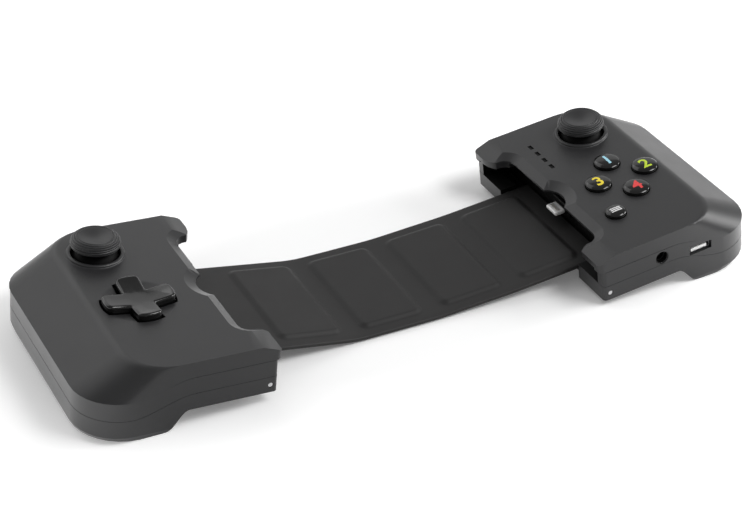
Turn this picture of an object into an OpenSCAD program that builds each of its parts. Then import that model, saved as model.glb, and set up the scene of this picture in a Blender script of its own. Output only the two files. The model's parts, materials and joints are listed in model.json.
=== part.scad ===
// Mobile game controller: two hand grips joined by a bending strap.
// Each grip has a slot for one end of a phone. Units are millimetres, Z is up.
// X runs along the strap from the left grip to the right, and Y runs from the front to the rear.

/* [Grips] */
// clear distance between the inner edges of the two grips
grip_gap = 121.2; // [112:0.2:140]
// width of a grip from its inner edge to its outer side
grip_width = 63.5; // [60:0.5:72]
// depth of a grip from front to rear
grip_depth = 87.4; // [80:0.2:96]
// height of a grip's flat top above its inner underside
grip_height = 17.1; // [16:0.1:19]
// thickness of the outer shells
wall = 2; // [1.8:0.1:2.2]
// how deep a phone's end sits in a grip
slot_depth = 12; // [11:0.1:13]
// how far the left grip leans, outer side up, in degrees
left_lean = 4.2; // [3:0.1:6]
// how far the right grip leans, outer side up, in degrees
right_lean = 7.5; // [6:0.1:9]

/* [Controls] */
// radius of the thumbstick cap
stick_radius = 8.4; // [7.4:0.1:8.6]
// radius of a round button
button_radius = 4.6; // [4:0.1:4.8]
// distance of each round button from the middle of the four
button_spread = 9.6; // [9.2:0.1:10.4]
// radius of the menu button
menu_radius = 3.6; // [3:0.1:4]
// length of each arm of the direction pad from its middle
pad_arm = 11.9; // [11:0.1:13]
// width of each arm of the direction pad
pad_width = 8.2; // [7:0.1:9]

/* [Strap] */
// width of the strap from front to rear
strap_width = 53; // [46:0.5:58]
// thickness of the strap between its pads
band_thick = 1.6; // [1.2:0.1:1.8]
// length along the strap of each raised pad
strap_pad_length = 23.4; // [20:0.2:24]
// height of each raised pad above its band
strap_pad_rise = 0.8; // [0.5:0.1:1]
// radius of the pins that the strap turns on
pin_radius = 0.9; // [0.7:0.05:1.1]

/* [Hidden] */
$fn = 48;

// A grip's own frame: u runs outward from the inner edge, y to the rear, w up from the inner underside.
half_depth = grip_depth / 2;
ceiling = grip_height - wall;
seam_gap = 0.05;
// The joint lines above and below the middle frame, at the inner edge
upper_seam = grip_height - 5.4;
lower_seam = 5.7;
slot_middle = (upper_seam + lower_seam) / 2;
// How far the joint lines drop toward the outer side, and where
upper_drop = 4.6;
lower_drop = 5.2;
drop_start = grip_width - 35.5;
drop_run = 21;
// The palm swell under the outer half
swell = 7.1;
swell_start = grip_width - 33.5;
swell_run = 8;
// Floor of the bottom cover, measured up from the underside
floor_thick = 1.6;
floor_lag = 1.6;
swell_floor = 0.2;
// How much the swell's underside drops further outward, per millimetre
swell_slope = 0.07;

// Smooth step from 0 to 1
function smooth(t) = let (c = min(max(t, 0), 1)) c * c * (3 - 2 * c);
function upper_line(u) = upper_seam - upper_drop * smooth((u - drop_start) / drop_run);
function lower_line(u) = lower_seam - lower_drop * smooth((u - drop_start) / drop_run);
function outer_drop(u) = swell_slope * max(u - swell_start - swell_run, 0);
function underside(u) = -swell * smooth((u - swell_start) / swell_run) - outer_drop(u);
function inner_floor(u) = floor_thick - outer_drop(u - floor_lag)
  - (swell - swell_floor) * smooth((u - swell_start - floor_lag) / swell_run);
swell_low = -swell - outer_drop(grip_width);
// Rounding of the lower edges, and how far the bottom cover stands back from the upper ones
lower_round = 3.2;
cover_inset = 0.2;

// Those lines as points, run on past both sides of the grip
inside = -6;
outside = grip_width + 26;
above = 40;
function stations(start, run) = concat([inside], [for (i = [0:14]) start + run * i / 14], [outside]);
upper_points = [for (u = stations(drop_start, drop_run)) [u, upper_line(u)]];
lower_points = [for (u = stations(drop_start, drop_run)) [u, lower_line(u)]];
under_points = [for (u = stations(swell_start, swell_run)) [u, underside(u)]];
floor_points = [for (u = stations(swell_start + floor_lag, swell_run)) [u, inner_floor(u)]];
function reversed(list) = [for (i = [len(list) - 1:-1:0]) list[i]];
function raised(list, by) = [for (p = list) [p[0], p[1] + by]];
function up_from(list) = concat(list, [[outside, above], [inside, above]]);

// Outlines seen from above: small corners at the inner edge, large ones at the outer side
inner_radius = 1.5;
outer_radius = 15.5;
flat_radius = 13.5;
least_radius = 0.4;
tab_reach = 1.2;
flat_inset = 0.7;
plateau_u = grip_width - 15.7;
function corner(cx, cy, r, from) =
  [for (i = [0:8]) [cx + r * cos(from + i * 11.25), cy + r * sin(from + i * 11.25)]];
function rounded(x0, x1, yh, inner_r, outer_r) = concat(
  corner(x1 - outer_r, -yh + outer_r, outer_r, -90),
  corner(x1 - outer_r, yh - outer_r, outer_r, 0),
  corner(x0 + inner_r, yh - inner_r, inner_r, 90),
  corner(x0 + inner_r, -yh + inner_r, inner_r, 180));
function small_corner(d) = max(inner_radius - d, least_radius);
function outline(d) = rounded(d, grip_width - d, half_depth - d, small_corner(d), outer_radius - d);
function plateau(d) =
  rounded(-tab_reach + d, plateau_u - d, half_depth - flat_inset - d, small_corner(d), flat_radius - d);

// Phone slot
slot_wall = 1.8;
slot_half = half_depth - 4.2;
slot_ceiling = grip_height - 4.5;
recess_ceiling = 2.5;
floor_edge = 6.5;
hollow_u = slot_depth + 1.6;
slot_floor = lower_seam + seam_gap;
slot_top = upper_seam - seam_gap;

// Circuit board and the posts that clamp it
board_top = grip_height - 8.5;
board_low = board_top - 1.2;
board_end = grip_width - 12;
post_radius = 2.4;
screw_radius = 0.95;
head_radius = 2;
post_places = [
  [slot_depth + 5, -half_depth + 5.8], [slot_depth + 6.6, half_depth - 10.5],
  [grip_width - 16, -half_depth + 12.7], [grip_width - 16, half_depth - 13.5]];

// Thumbstick
stick_u = plateau_u - 12.8;
stick_y = half_depth - 16.7;
stick_pivot = grip_height - 4.6;
stick_base_half = 8;
collar_bore = stick_radius - 0.2;
collar_tube = collar_bore + 0.6;
collar_foot = collar_bore + 2.8;
skirt_radius = stick_radius + 0.2;
skirt_wall = 0.6;
cap_neck = 2.6;
cap_under = grip_height + 3.2;
cap_top = grip_height + 6.9;

// Direction pad and round buttons share one middle
cluster_u = (hollow_u + plateau_u) / 2 + 1.5;
cluster_y = -4.8;
pad_pivot = grip_height - 4.9;
pad_low = grip_height - 2.4;
pad_high = grip_height + 2.9;
pad_dish = 46.4;
pad_dish_floor = grip_height + 1.1;
pad_clearance = 0.6;
button_places = [
  [cluster_u, cluster_y + button_spread], [cluster_u + button_spread, cluster_y],
  [cluster_u - button_spread, cluster_y], [cluster_u, cluster_y - button_spread]];
button_clearance = 0.25;
flange = 0.6;
flange_top = ceiling - 1.1;
flange_low = flange_top - 1.2;
menu_place = [hollow_u + menu_radius + 1.3, -half_depth + 21];

// Gimbals under the stick and the direction pad
ring_radius = 5.2;
ring_bore = 3.7;
ring_high = 2.2;
axle_radius = 1;
axle_reach = 7.6;
cross_pin = 0.8;
running = 0.05;

// Lights, sockets and plug
light_u = hollow_u + 1.7;
light_y = [for (i = [0:3]) half_depth - 14.1 - 4.9 * i];
light_half = [0.7, 1.3];
light_fit = 0.15;
audio_u = slot_depth + 11.5;
audio_w = slot_middle - 0.1;
audio_bore = 1.8;
audio_case = 2.9;
audio_window = 2.55;
audio_back = -half_depth + 12.7;
charge_u = grip_width - 24.4;
charge_w = (upper_line(charge_u) + lower_line(charge_u)) / 2 + 0.26;
charge_half = [4.2, 1.45];
charge_back = -half_depth + 7.5;
charge_wall = 0.4;
plug_y = 1.6;
plug_w = slot_middle + 0.3;
plug_half = [3.35, 0.75];
plug_reach = 5.6;
carrier_half = 5.4;

// Shoulder button and trigger in the rear wall
rear_start = hollow_u + 0.8;
shoulder_end = plateau_u - 11.4;
trigger_end = plateau_u - 3.4;
window_back = half_depth - 4.7;
window_gap = 0.5;
trigger_pivot = [half_depth - 5.2, lower_seam + 1.7];
trigger_top = trigger_pivot[1] + 1.7;
trigger_window = [trigger_pivot[1] - 6.2, trigger_top + 0.2];
shoulder_low = trigger_top + 0.6;
shoulder_top = grip_height - 3.5;
trigger_pin_radius = 0.8;
trigger_lip = half_depth + 5.6;

// Strap pins
pin_u = 2.7;
pin_w = 2.7;
strap_half = strap_width / 2;
lug_y = strap_half + 0.4;
strap_way = pin_u + 2.5;

// The grips stand on the start of their palm swells
stand_stations = [for (i = [0:48]) swell_start + swell_run / 2 + 0.25 * i];
function stand(lean) = -min([for (u = stand_stations) u * sin(lean) + underside(u) * cos(lean)]);
left_z = stand(left_lean);
right_z = stand(right_lean);
// The bottom covers reach furthest out, where their outer sides start to round inward
function reach(lean) = (grip_width - cover_inset) * cos(lean) - (swell_low + lower_round) * sin(lean);
shift_x = (reach(left_lean) - reach(right_lean)) / 2;
shift_y = (half_depth - trigger_lip) / 2;

module at_left()
  translate([-grip_gap / 2 + shift_x, shift_y, left_z]) rotate([0, left_lean, 0])
    mirror([1, 0, 0]) children();
module at_right()
  translate([grip_gap / 2 + shift_x, shift_y, right_z]) rotate([0, -right_lean, 0]) children();

// A profile in u and w drawn out from front to rear
module drawn(points)
  rotate([90, 0, 0]) linear_extrude(height = 2 * grip_depth, center = true) polygon(points);
// A profile in y and w drawn out along u
module drawn_along(u0, u1, points)
  translate([u0, 0, 0]) rotate([90, 0, 90]) linear_extrude(height = u1 - u0) polygon(points);
// Rods along y and along u, and a block between its sides
module rod_y(u, w, r, y0, y1) translate([u, y1, w]) rotate([90, 0, 0]) cylinder(r = r, h = y1 - y0);
module rod_u(y, w, r, u0, u1) translate([u0, y, w]) rotate([0, 90, 0]) cylinder(r = r, h = u1 - u0);
module block(u0, u1, y0, y1, w0, w1) translate([u0, y0, w0]) cube([u1 - u0, y1 - y0, w1 - w0]);
// A thin slice of an outline, for hulls
slice = 0.05;
module slice_at(w, points) translate([0, 0, w]) linear_extrude(height = slice) polygon(points);

// Outer form of a grip above its middle: a flat top that turns softly down to the sloped outer side
rim_low = upper_seam - 4.5;
turn_reach = 1.6;
turn_steps = 4;
side_tilt = atan((grip_height - rim_low) / (grip_width - plateau_u));
turn_radius = turn_reach / tan(side_tilt / 2);
function turn_u(a) = plateau_u - turn_reach + turn_radius * sin(a);
function turn_drop(a) = turn_radius * (1 - cos(a));
function front_inset(drop) = flat_inset * (1 - drop / (grip_height - rim_low));
function top_outline(a, d) = rounded(-tab_reach + d, turn_u(a) - d,
  half_depth - front_inset(turn_drop(a)) - d, small_corner(d), flat_radius - d);
module upper_form(d) hull() {
  for (i = [0:turn_steps]) {
    a = side_tilt * i / turn_steps;
    slice_at(grip_height - turn_drop(a) - d - slice, top_outline(a, d));
  }
  translate([0, 0, -3]) linear_extrude(height = rim_low - d + 3) polygon(outline(d));
}
// Outer form of a grip below its middle, with rounded lower edges
function lower_outline(d, r) = rounded(d, grip_width - d, half_depth - d, small_corner(d), r - d);
module lower_form(d) hull() {
  slice_at(swell_low, lower_outline(2.2 + d, outer_radius + 4.5));
  slice_at(swell_low + 1.3, lower_outline(0.6 + d, outer_radius + 2));
  translate([0, 0, swell_low + lower_round]) linear_extrude(height = 14) polygon(outline(d));
}

// Edge recess that leaves the phone's screen clear, in a front and a rear half, grown by e
recess_front_u = 7.1;
recess_rear_u = 6.6;
recess_front = -half_depth + 13.6;
recess_rear = half_depth - 13;
recess_bevel = [3.2, 1.7];
front_round = 4.2;
rear_round = 5;
front_middle = [recess_front_u - front_round, recess_front + front_round];
rear_middle = [recess_rear_u - rear_round, recess_rear - rear_round];
function on_arc(middle, r, a) = middle + r * [cos(a), sin(a)];
// Round notch in the recess's edge, over the plug
notch_place = [2.2, -0.8];
notch_radius = 8;
notch_bevel = 4;
function front_recess(e) = concat(
  [[-9, notch_place[1]], [-9, recess_front - 5.9 - e], [-4, recess_front - 3.3 - e],
    [2 + e / 2, recess_front - e]],
  [for (a = [-75:15:0]) on_arc(front_middle, front_round + e, a)],
  [[recess_front_u + e, notch_place[1]]]);
function rear_recess(e) = concat(
  [[-9, notch_place[1]], [recess_rear_u + e, notch_place[1]]],
  [for (a = [0:15:105]) on_arc(rear_middle, rear_round + e, a)],
  [[-9, recess_rear - 2.9 + e]]);
// Corner taken off the rear tip beside the recess
rear_tip = [[-9, recess_rear - 4], [2, recess_rear - 1], [0.5, recess_rear + 0.9],
  [-0.5, recess_rear + 3], [-1.1, recess_rear + 6], [-9, recess_rear + 8]];
// Slope of the inner ends beside the recess
slope_start = 5.4;
slope_angle = 20;

// Windows in the rear wall for the shoulder button and the trigger
module rear_windows() {
  block(rear_start, shoulder_end, window_back, half_depth + 20,
    shoulder_low - window_gap, shoulder_top + 0.4);
  block(rear_start, trigger_end, window_back, half_depth + 20, trigger_window[0], trigger_window[1]);
}

module top_shell() difference() {
  intersection() {
    upper_form(0);
    drawn(up_from(upper_points));
  }
  intersection() {
    upper_form(wall);
    block(hollow_u, outside, -grip_depth, grip_depth, 0, above);
  }
  // slot ceiling
  block(-5, slot_depth, -slot_half, slot_half, upper_seam - 1.7, slot_ceiling);
  // sloped inner ends
  translate([slope_start, 0, grip_height]) rotate([0, -slope_angle, 0])
    translate([-20, -grip_depth, 0]) cube([20, 2 * grip_depth, 20]);
  // thinner ceiling along the recess
  block(-5, slot_depth, recess_front + 2, recess_rear - 2, slot_ceiling - 1, grip_height - recess_ceiling);
  // edge recess with its bevel
  translate([0, 0, lower_seam]) linear_extrude(height = 20) {
    polygon(front_recess(0));
    polygon(rear_recess(0));
    polygon(rear_tip);
  }
  hull() {
    slice_at(grip_height - recess_bevel[1], front_recess(0));
    slice_at(grip_height, front_recess(recess_bevel[0]));
  }
  hull() {
    slice_at(grip_height - recess_bevel[1], rear_recess(0));
    slice_at(grip_height, rear_recess(recess_bevel[0]));
  }
  // round notch with its bevel
  translate([notch_place[0], notch_place[1], 0]) {
    translate([0, 0, lower_seam]) cylinder(r = notch_radius, h = 20);
    translate([0, 0, grip_height - recess_bevel[1]])
      cylinder(r1 = notch_radius, r2 = notch_radius + notch_bevel, h = recess_bevel[1] + slice);
  }
  // stick opening
  translate([stick_u, stick_y, board_top]) cylinder(r = collar_tube, h = 20);
  rear_windows();
}
module top_bosses() difference() {
  for (p = post_places)
    translate([p[0], p[1], board_top]) cylinder(r = post_radius, h = ceiling - board_top + 0.5);
  for (p = post_places) translate([p[0], p[1], board_top - 1]) cylinder(r = screw_radius + 0.05, h = 5.4);
  // the sloped side
  drawn([[stick_u - 5, above], [stick_u + 5, ceiling + 0.5], [plateau_u - 2, ceiling + 0.5],
    [plateau_u + 4, ceiling - 2.4], [grip_width + 16, 2], [grip_width + 16, above]]);
}

// Middle frame: a band around the grip, open toward the phone
module mid_shell() difference() {
  intersection() {
    difference() {
      linear_extrude(height = above) polygon(outline(0.25));
      translate([0, 0, -1]) linear_extrude(height = above + 2) polygon(outline(wall + 0.2));
      block(-5, slot_depth, -slot_half, slot_half, -5, above + 5);
    }
    drawn(concat(raised(upper_points, -seam_gap), reversed(raised(lower_points, seam_gap))));
  }
  rear_windows();
}
// Wall that the phone's end meets, with ribs at the slot's two ends, and the trigger pin's outer rib
rib_places = [3, 6, 9];
rib_width = 0.9;
module mid_wall(has_plug) difference() {
  union() {
    block(slot_depth, slot_depth + slot_wall, -half_depth + wall, half_depth - wall,
      slot_floor, slot_top);
    for (s = [-1, 1]) {
      middle_y = s * (half_depth - 3.1);
      for (u = rib_places) block(u, u + rib_width, middle_y - 1.1, middle_y + 1.1, slot_floor, slot_top);
    }
    block(0.3, slot_depth, -half_depth + wall, -slot_half, slot_floor, slot_top);
    block(0.3, slot_depth, slot_half, half_depth - wall, slot_floor, slot_top);
    block(trigger_end + 0.2, trigger_end + 2, half_depth - 7.6, half_depth - wall,
      trigger_pivot[1] - 1.8, trigger_pivot[1] + 0.5);
  }
  if (has_plug)
    block(slot_depth - 1, slot_depth + 3, plug_y - carrier_half - 0.2, plug_y + carrier_half + 0.2,
      lower_seam + 0.9, upper_seam + 0.3);
  rod_u(trigger_pivot[0], trigger_pivot[1], trigger_pin_radius, slot_depth - 1, trigger_end + 6);
}

// Bottom cover, with lugs for the strap pin and posts for the screws
head_depth = 1.6;
module bottom_shell() difference() {
  union() {
    difference() {
      intersection() {
        lower_form(cover_inset);
        drawn(concat(lower_points, reversed(under_points)));
      }
      // inside space above the floor
      intersection() {
        lower_form(wall + cover_inset);
        drawn(up_from(floor_points));
        block(floor_edge, outside, -grip_depth, grip_depth, -20, above);
      }
      // the strap's way between the two lugs
      block(-3, strap_way, -lug_y, lug_y, -5, above);
      block(strap_way - 0.1, floor_edge + 0.5, -lug_y, lug_y, floor_thick, above);
    }
    block(slot_depth, slot_depth + slot_wall, -half_depth + wall + 0.4, half_depth - wall - 0.4,
      1, lower_seam - seam_gap);
    intersection() {
      for (p = post_places)
        translate([p[0], p[1], swell_low]) cylinder(r = post_radius, h = board_low - swell_low);
      drawn(up_from(raised(under_points, 0.6)));
    }
  }
  for (p = post_places) {
    translate([p[0], p[1], -20]) cylinder(r = screw_radius + 0.15, h = above);
    translate([p[0], p[1], underside(p[0]) - 5]) cylinder(r = head_radius + 0.1, h = head_depth + 5);
  }
  rod_y(pin_u, pin_w, pin_radius, -grip_depth, grip_depth);
  rear_windows();
}

module screw_set() for (p = post_places) {
  translate([p[0], p[1], underside(p[0]) + head_depth - 1.1]) cylinder(r = head_radius, h = 1);
  translate([p[0], p[1], underside(p[0]) + head_depth - 0.2])
    cylinder(r = screw_radius, h = board_top + 3.2 - head_depth - underside(p[0]));
}
module strap_pin() rod_y(pin_u, pin_w, pin_radius, -half_depth + 0.3, half_depth - 0.3);
module trigger_pin()
  rod_u(trigger_pivot[0], trigger_pivot[1], trigger_pin_radius, slot_depth + 0.2, trigger_end + 1.8);

// Ring around the stick, rising softly from the flat top to a lip
module stick_collar_shape() translate([stick_u, stick_y, grip_height]) rotate_extrude() polygon([
  [collar_bore, -1], [collar_tube, -1], [collar_tube, 0], [collar_foot, 0], [collar_foot - 0.8, 0.15],
  [collar_foot - 1.4, 0.45], [collar_foot - 1.9, 0.75], [collar_tube, 0.8], [collar_bore + 0.25, 0.65],
  [collar_bore, 0.2]]);

module stick_base_shape() difference() {
  block(stick_u - stick_base_half, stick_u + stick_base_half, stick_y - stick_base_half,
    stick_y + stick_base_half, board_top, stick_pivot + 1.5);
  block(stick_u - 6.2, stick_u + 6.2, stick_y - 6.2, stick_y + 6.2, board_top + 1, stick_pivot + 5);
  rod_u(stick_y, stick_pivot, axle_radius + running, stick_u - 12, stick_u + 12);
}
module gimbal_ring(u, y, w) difference() {
  union() {
    translate([u, y, w - ring_high / 2]) cylinder(r = ring_radius, h = ring_high);
    rod_u(y, w, axle_radius, u - axle_reach, u + axle_reach);
  }
  translate([u, y, w - 5]) cylinder(r = ring_bore, h = 10);
  rod_y(u, w, cross_pin + running, y - 8, y + 8);
}
stem_radius = 1.9;
stem_top = cap_under + 0.4;
module stick_stem_shape() {
  stem_low = stick_pivot - ring_high / 2;
  translate([stick_u, stick_y, stem_low]) cylinder(r = stem_radius, h = stem_top - stem_low);
  rod_y(stick_u, stick_pivot, cross_pin, stick_y - ring_radius + 0.1, stick_y + ring_radius - 0.1);
}
// Dome that closes the collar under the cap, centred on the pivot so that it slides as the stick tilts
skirt_low = stick_pivot + 3.9;
module stick_skirt_shape() difference() {
  translate([stick_u, stick_y, stick_pivot]) sphere(r = skirt_radius);
  translate([stick_u, stick_y, stick_pivot]) sphere(r = skirt_radius - skirt_wall);
  block(stick_u - 20, stick_u + 20, stick_y - 20, stick_y + 20, stick_pivot - 20, skirt_low);
  block(stick_u - 20, stick_u + 20, stick_y - 20, stick_y + 20, cap_under, cap_under + 20);
  // hole for the cap's neck
  translate([stick_u, stick_y, stick_pivot]) cylinder(r = cap_neck + 0.1, h = 20);
}
// Cap with a rounded rim and a shallow dish
module stick_cap_shape() translate([stick_u, stick_y, 0]) rotate_extrude() difference() {
  polygon([[0, cap_under - 1], [cap_neck, cap_under - 1], [cap_neck, cap_under],
    [stick_radius - 1.2, cap_under],
    [stick_radius - 0.3, cap_under + 0.4], [stick_radius, cap_under + 1.1],
    [stick_radius - 0.1, cap_top - 1.8], [stick_radius - 0.6, cap_top - 1],
    [stick_radius - 1.4, cap_top - 0.4], [stick_radius - 2.3, cap_top], [stick_radius - 2.8, cap_top],
    [3.6, cap_top - 0.6], [1.8, cap_top - 0.9], [0, cap_top - 1]]);
  square([stem_radius + running, stem_top]);
}

module board_shape(has_sockets) difference() {
  block(hollow_u + 1.4, board_end, -half_depth + 4.6, half_depth - 8.3, board_low, board_top);
  for (p = post_places) translate([p[0], p[1], 0]) cylinder(r = screw_radius + 0.2, h = above);
  if (has_sockets) {
    block(audio_u - 4.1, audio_u + 4.1, -grip_depth, audio_back + 0.6, 0, above);
    block(charge_u - charge_half[0] - 1, charge_u + charge_half[0] + 1, -grip_depth, charge_back + 0.8,
      0, above);
  }
}

// Shoulder button that is pushed forward
module shoulder_shape() drawn_along(rear_start + window_gap, shoulder_end - 0.4, [
  [half_depth - 5.2, shoulder_low], [half_depth + 0.8, shoulder_low],
  [half_depth + 1.4, shoulder_low + 0.6], [half_depth + 1.4, shoulder_top - 1.2],
  [half_depth + 0.6, shoulder_top - 0.2], [half_depth, shoulder_top], [half_depth - 5.2, shoulder_top]]);
// Trigger that swings on its pin, drawn around its pivot
module trigger_shape() difference() {
  drawn_along(rear_start + window_gap, trigger_end - window_gap, [
    for (p = [[-2, 1], [-1, 1.7], [5.8, 1.7], [8.4, 0.4], [10, -2], [10.8, -5.2], [9.6, -5.5],
      [7.8, -4.2], [4.8, -3.1], [-0.2, -1.9], [-2, -1.2]]) trigger_pivot + p]);
  rod_u(trigger_pivot[0], trigger_pivot[1], trigger_pin_radius + running, 0, grip_width);
}

// Cross of the direction pad
module cross(arm, width, w0, w1) intersection() {
  union() {
    block(-arm, arm, -width / 2, width / 2, w0, w1);
    block(-width / 2, width / 2, -arm, arm, w0, w1);
  }
  translate([0, 0, w0 - 1]) cylinder(r = arm, h = w1 - w0 + 2);
}
module dpad_shape() {
  translate([cluster_u, cluster_y, 0]) difference() {
    cross(pad_arm, pad_width, pad_low, pad_high);
    translate([0, 0, pad_dish_floor + pad_dish]) sphere(r = pad_dish, $fn = 96);
  }
  translate([cluster_u, cluster_y, pad_pivot - ring_high / 2])
    cylinder(r = 2.6, h = pad_low - pad_pivot + ring_high / 2 + 0.4);
  rod_y(cluster_u, pad_pivot, cross_pin, cluster_y - ring_radius + 0.1, cluster_y + ring_radius - 0.1);
}
cradle_half = 8;
cradle_gap = ring_radius + 0.7;
module dpad_cradle_shape() difference() {
  translate([cluster_u, cluster_y, 0]) {
    block(-cradle_half, cradle_half, -3.5, 3.5, board_top, board_top + 0.9);
    block(-cradle_half, -cradle_gap, -2.5, 2.5, board_top, pad_pivot + 1.4);
    block(cradle_gap, cradle_half, -2.5, 2.5, board_top, pad_pivot + 1.4);
  }
  rod_u(cluster_y, pad_pivot, axle_radius + running, 0, grip_width);
}

// Round button: flange, body and domed top
module round_button(place, r) translate([place[0], place[1], 0]) rotate_extrude() polygon([
  [0, flange_low], [r + flange, flange_low], [r + flange, flange_top], [r, flange_top],
  [r, grip_height + 0.4], [r - 0.15, grip_height + 0.8], [r - 0.6, grip_height + 1.2],
  [r - 1.4, grip_height + 1.55], [r - 2.4, grip_height + 1.75], [0, grip_height + 1.85]]);

// Strap: four flat bands between the two pins, each with a raised pad
pin_drop = 1.2;
barrel_radius = pin_radius + 1;
tongue = 8.2;
nose_gap = 0.15;
pad_margin = 4.3;
pad_from_bend = 3.4;
pad_edge = 0.7;
pad_corner = 3;
panel_pitch = strap_pad_length + 7;
last_panel = strap_pad_length + 2.6;
bend_heights = [1.1, 1.1, 3.3];
left_pin = [-grip_gap / 2 + shift_x - pin_u * cos(left_lean) + pin_w * sin(left_lean),
  left_z + pin_u * sin(left_lean) + pin_w * cos(left_lean)];
right_pin = [grip_gap / 2 + shift_x + pin_u * cos(right_lean) - pin_w * sin(right_lean),
  right_z + pin_u * sin(right_lean) + pin_w * cos(right_lean)];
bend_c = [right_pin[0] - last_panel, bend_heights[2]];
bend_b = [bend_c[0] - panel_pitch, bend_heights[1]];
bend_a = [bend_b[0] - panel_pitch, bend_heights[0]];
function span(a, b) = norm(b - a);
function lean_of(a, b) = atan2(b[1] - a[1], b[0] - a[0]);
left_dir = lean_of(left_pin, bend_a) - asin(pin_drop / span(left_pin, bend_a));
right_dir = lean_of(bend_c, right_pin) + asin(pin_drop / span(bend_c, right_pin));
left_end = left_pin + pin_drop * [-sin(left_dir), cos(left_dir)];
right_end = right_pin + pin_drop * [-sin(right_dir), cos(right_dir)];
run_1 = span(left_end, bend_a);
run_2 = span(bend_a, bend_b);
run_3 = span(bend_b, bend_c);
run_4 = span(bend_c, right_end);

module strap_plane(from, to)
  translate([from[0], shift_y, from[1]]) rotate([0, -lean_of(from, to), 0]) children();
// Flat band with a round nose at each bending end
module band(x0, x1, left_nose, right_nose) {
  half = band_thick / 2;
  a = left_nose ? x0 + nose_gap + half : x0;
  b = right_nose ? x1 - nose_gap - half : x1;
  block(a, b, -strap_half, strap_half, -half, half);
  if (left_nose) rod_y(a, 0, half, -strap_half, strap_half);
  if (right_nose) rod_y(b, 0, half, -strap_half, strap_half);
}
// Barrel that turns on the strap pin
module barrel(x) rod_y(x, -pin_drop, barrel_radius, -strap_half, strap_half);
module barrel_bore(x) rod_y(x, -pin_drop, pin_radius + running, -strap_width, strap_width);
module raised_pad(x0) {
  pad_half = strap_half - pad_margin;
  top_corner = pad_corner - 0.6;
  translate([x0, 0, band_thick / 2]) hull() {
    linear_extrude(height = 0.02) polygon(rounded(0, strap_pad_length, pad_half, pad_corner, pad_corner));
    translate([0, 0, strap_pad_rise - 0.02]) linear_extrude(height = 0.02)
      polygon(rounded(pad_edge, strap_pad_length - pad_edge, pad_half - pad_edge, top_corner, top_corner));
  }
}

// Colours
shell_dark = "#3a3b3d";
gloss_black = "#1c1d1e";
inner_black = "#202124";
ring_grey = "#3a3b3d";
rubber_dark = "#303133";
steel = "#c9cacc";

// Left grip, fixed pieces
module left_top_cover() color(shell_dark) at_left() difference() {
  union() {
    top_shell();
    top_bosses();
  }
  translate([cluster_u, cluster_y, 0])
    cross(pad_arm + pad_clearance, pad_width + 2 * pad_clearance, board_top, above);
}
module left_mid_frame() color(shell_dark) at_left() {
  mid_shell();
  mid_wall(false);
}
module left_bottom_cover() color(shell_dark) at_left() bottom_shell();
module left_stick_collar() color(shell_dark) at_left() stick_collar_shape();
module left_board() color("#1d4d33") at_left() board_shape(false);
module left_stick_base() color(inner_black) at_left() stick_base_shape();
module dpad_cradle() color(inner_black) at_left() dpad_cradle_shape();
mat_top = board_top + 0.8;
module left_contact_mat() color("#55575a") at_left() difference() {
  union() {
    block(cluster_u - 15.2, cluster_u + 14.8, cluster_y - pad_arm - 2.2, cluster_y + pad_arm + 1.9,
      board_top, mat_top);
    for (a = [0:90:270]) translate([cluster_u, cluster_y, board_top]) rotate([0, 0, a])
      translate([pad_arm - 2.3, 0, 0]) cylinder(r = 1.6, h = pad_low - 1.7 - board_top);
  }
  block(cluster_u - cradle_half - 0.3, cluster_u + cradle_half + 0.3, cluster_y - 4, cluster_y + 4,
    0, pad_pivot);
}
module left_screws() color("#b4b6b8") at_left() screw_set();
module left_strap_pin() color(steel) at_left() strap_pin();
module left_trigger_pin() color(steel) at_left() trigger_pin();
module left_phone_stop() color("#1b1b1c") at_left()
  block(slot_depth - 1.1, slot_depth, -half_depth + 25.7, half_depth - 25.7,
    lower_seam + 0.7, upper_seam - 0.5);

// Left grip, moving pieces
module left_stick_gimbal() color(ring_grey) at_left() gimbal_ring(stick_u, stick_y, stick_pivot);
module left_stick_stem() color(inner_black) at_left() stick_stem_shape();
module left_stick_skirt() color(gloss_black) at_left() stick_skirt_shape();
module left_stick_cap() color("#242526") at_left() stick_cap_shape();
module dpad_rocker() color(ring_grey) at_left() gimbal_ring(cluster_u, cluster_y, pad_pivot);
module dpad() color(gloss_black) at_left() dpad_shape();
module left_shoulder() color(gloss_black) at_left() shoulder_shape();
module left_trigger() color(gloss_black) at_left() trigger_shape();

// Strap, from left to right
module strap_band_1() color(rubber_dark) strap_plane(left_end, bend_a) difference() {
  union() {
    band(-tongue, run_1, false, true);
    barrel(0);
  }
  barrel_bore(0);
}
module strap_band_2() color(rubber_dark) strap_plane(bend_a, bend_b) band(0, run_2, true, true);
module strap_band_3() color(rubber_dark) strap_plane(bend_b, bend_c) band(0, run_3, true, true);
module strap_band_4() color(rubber_dark) strap_plane(bend_c, right_end) difference() {
  union() {
    band(0, run_4 + tongue, true, false);
    barrel(run_4);
  }
  barrel_bore(run_4);
}
module strap_pad_1() color(rubber_dark)
  strap_plane(left_end, bend_a) raised_pad(run_1 - pad_from_bend - strap_pad_length);
module strap_pad_2() color(rubber_dark)
  strap_plane(bend_a, bend_b) raised_pad((run_2 - strap_pad_length) / 2);
module strap_pad_3() color(rubber_dark)
  strap_plane(bend_b, bend_c) raised_pad((run_3 - strap_pad_length) / 2);
module strap_pad_4() color(rubber_dark) strap_plane(bend_c, right_end) raised_pad(pad_from_bend);

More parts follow.
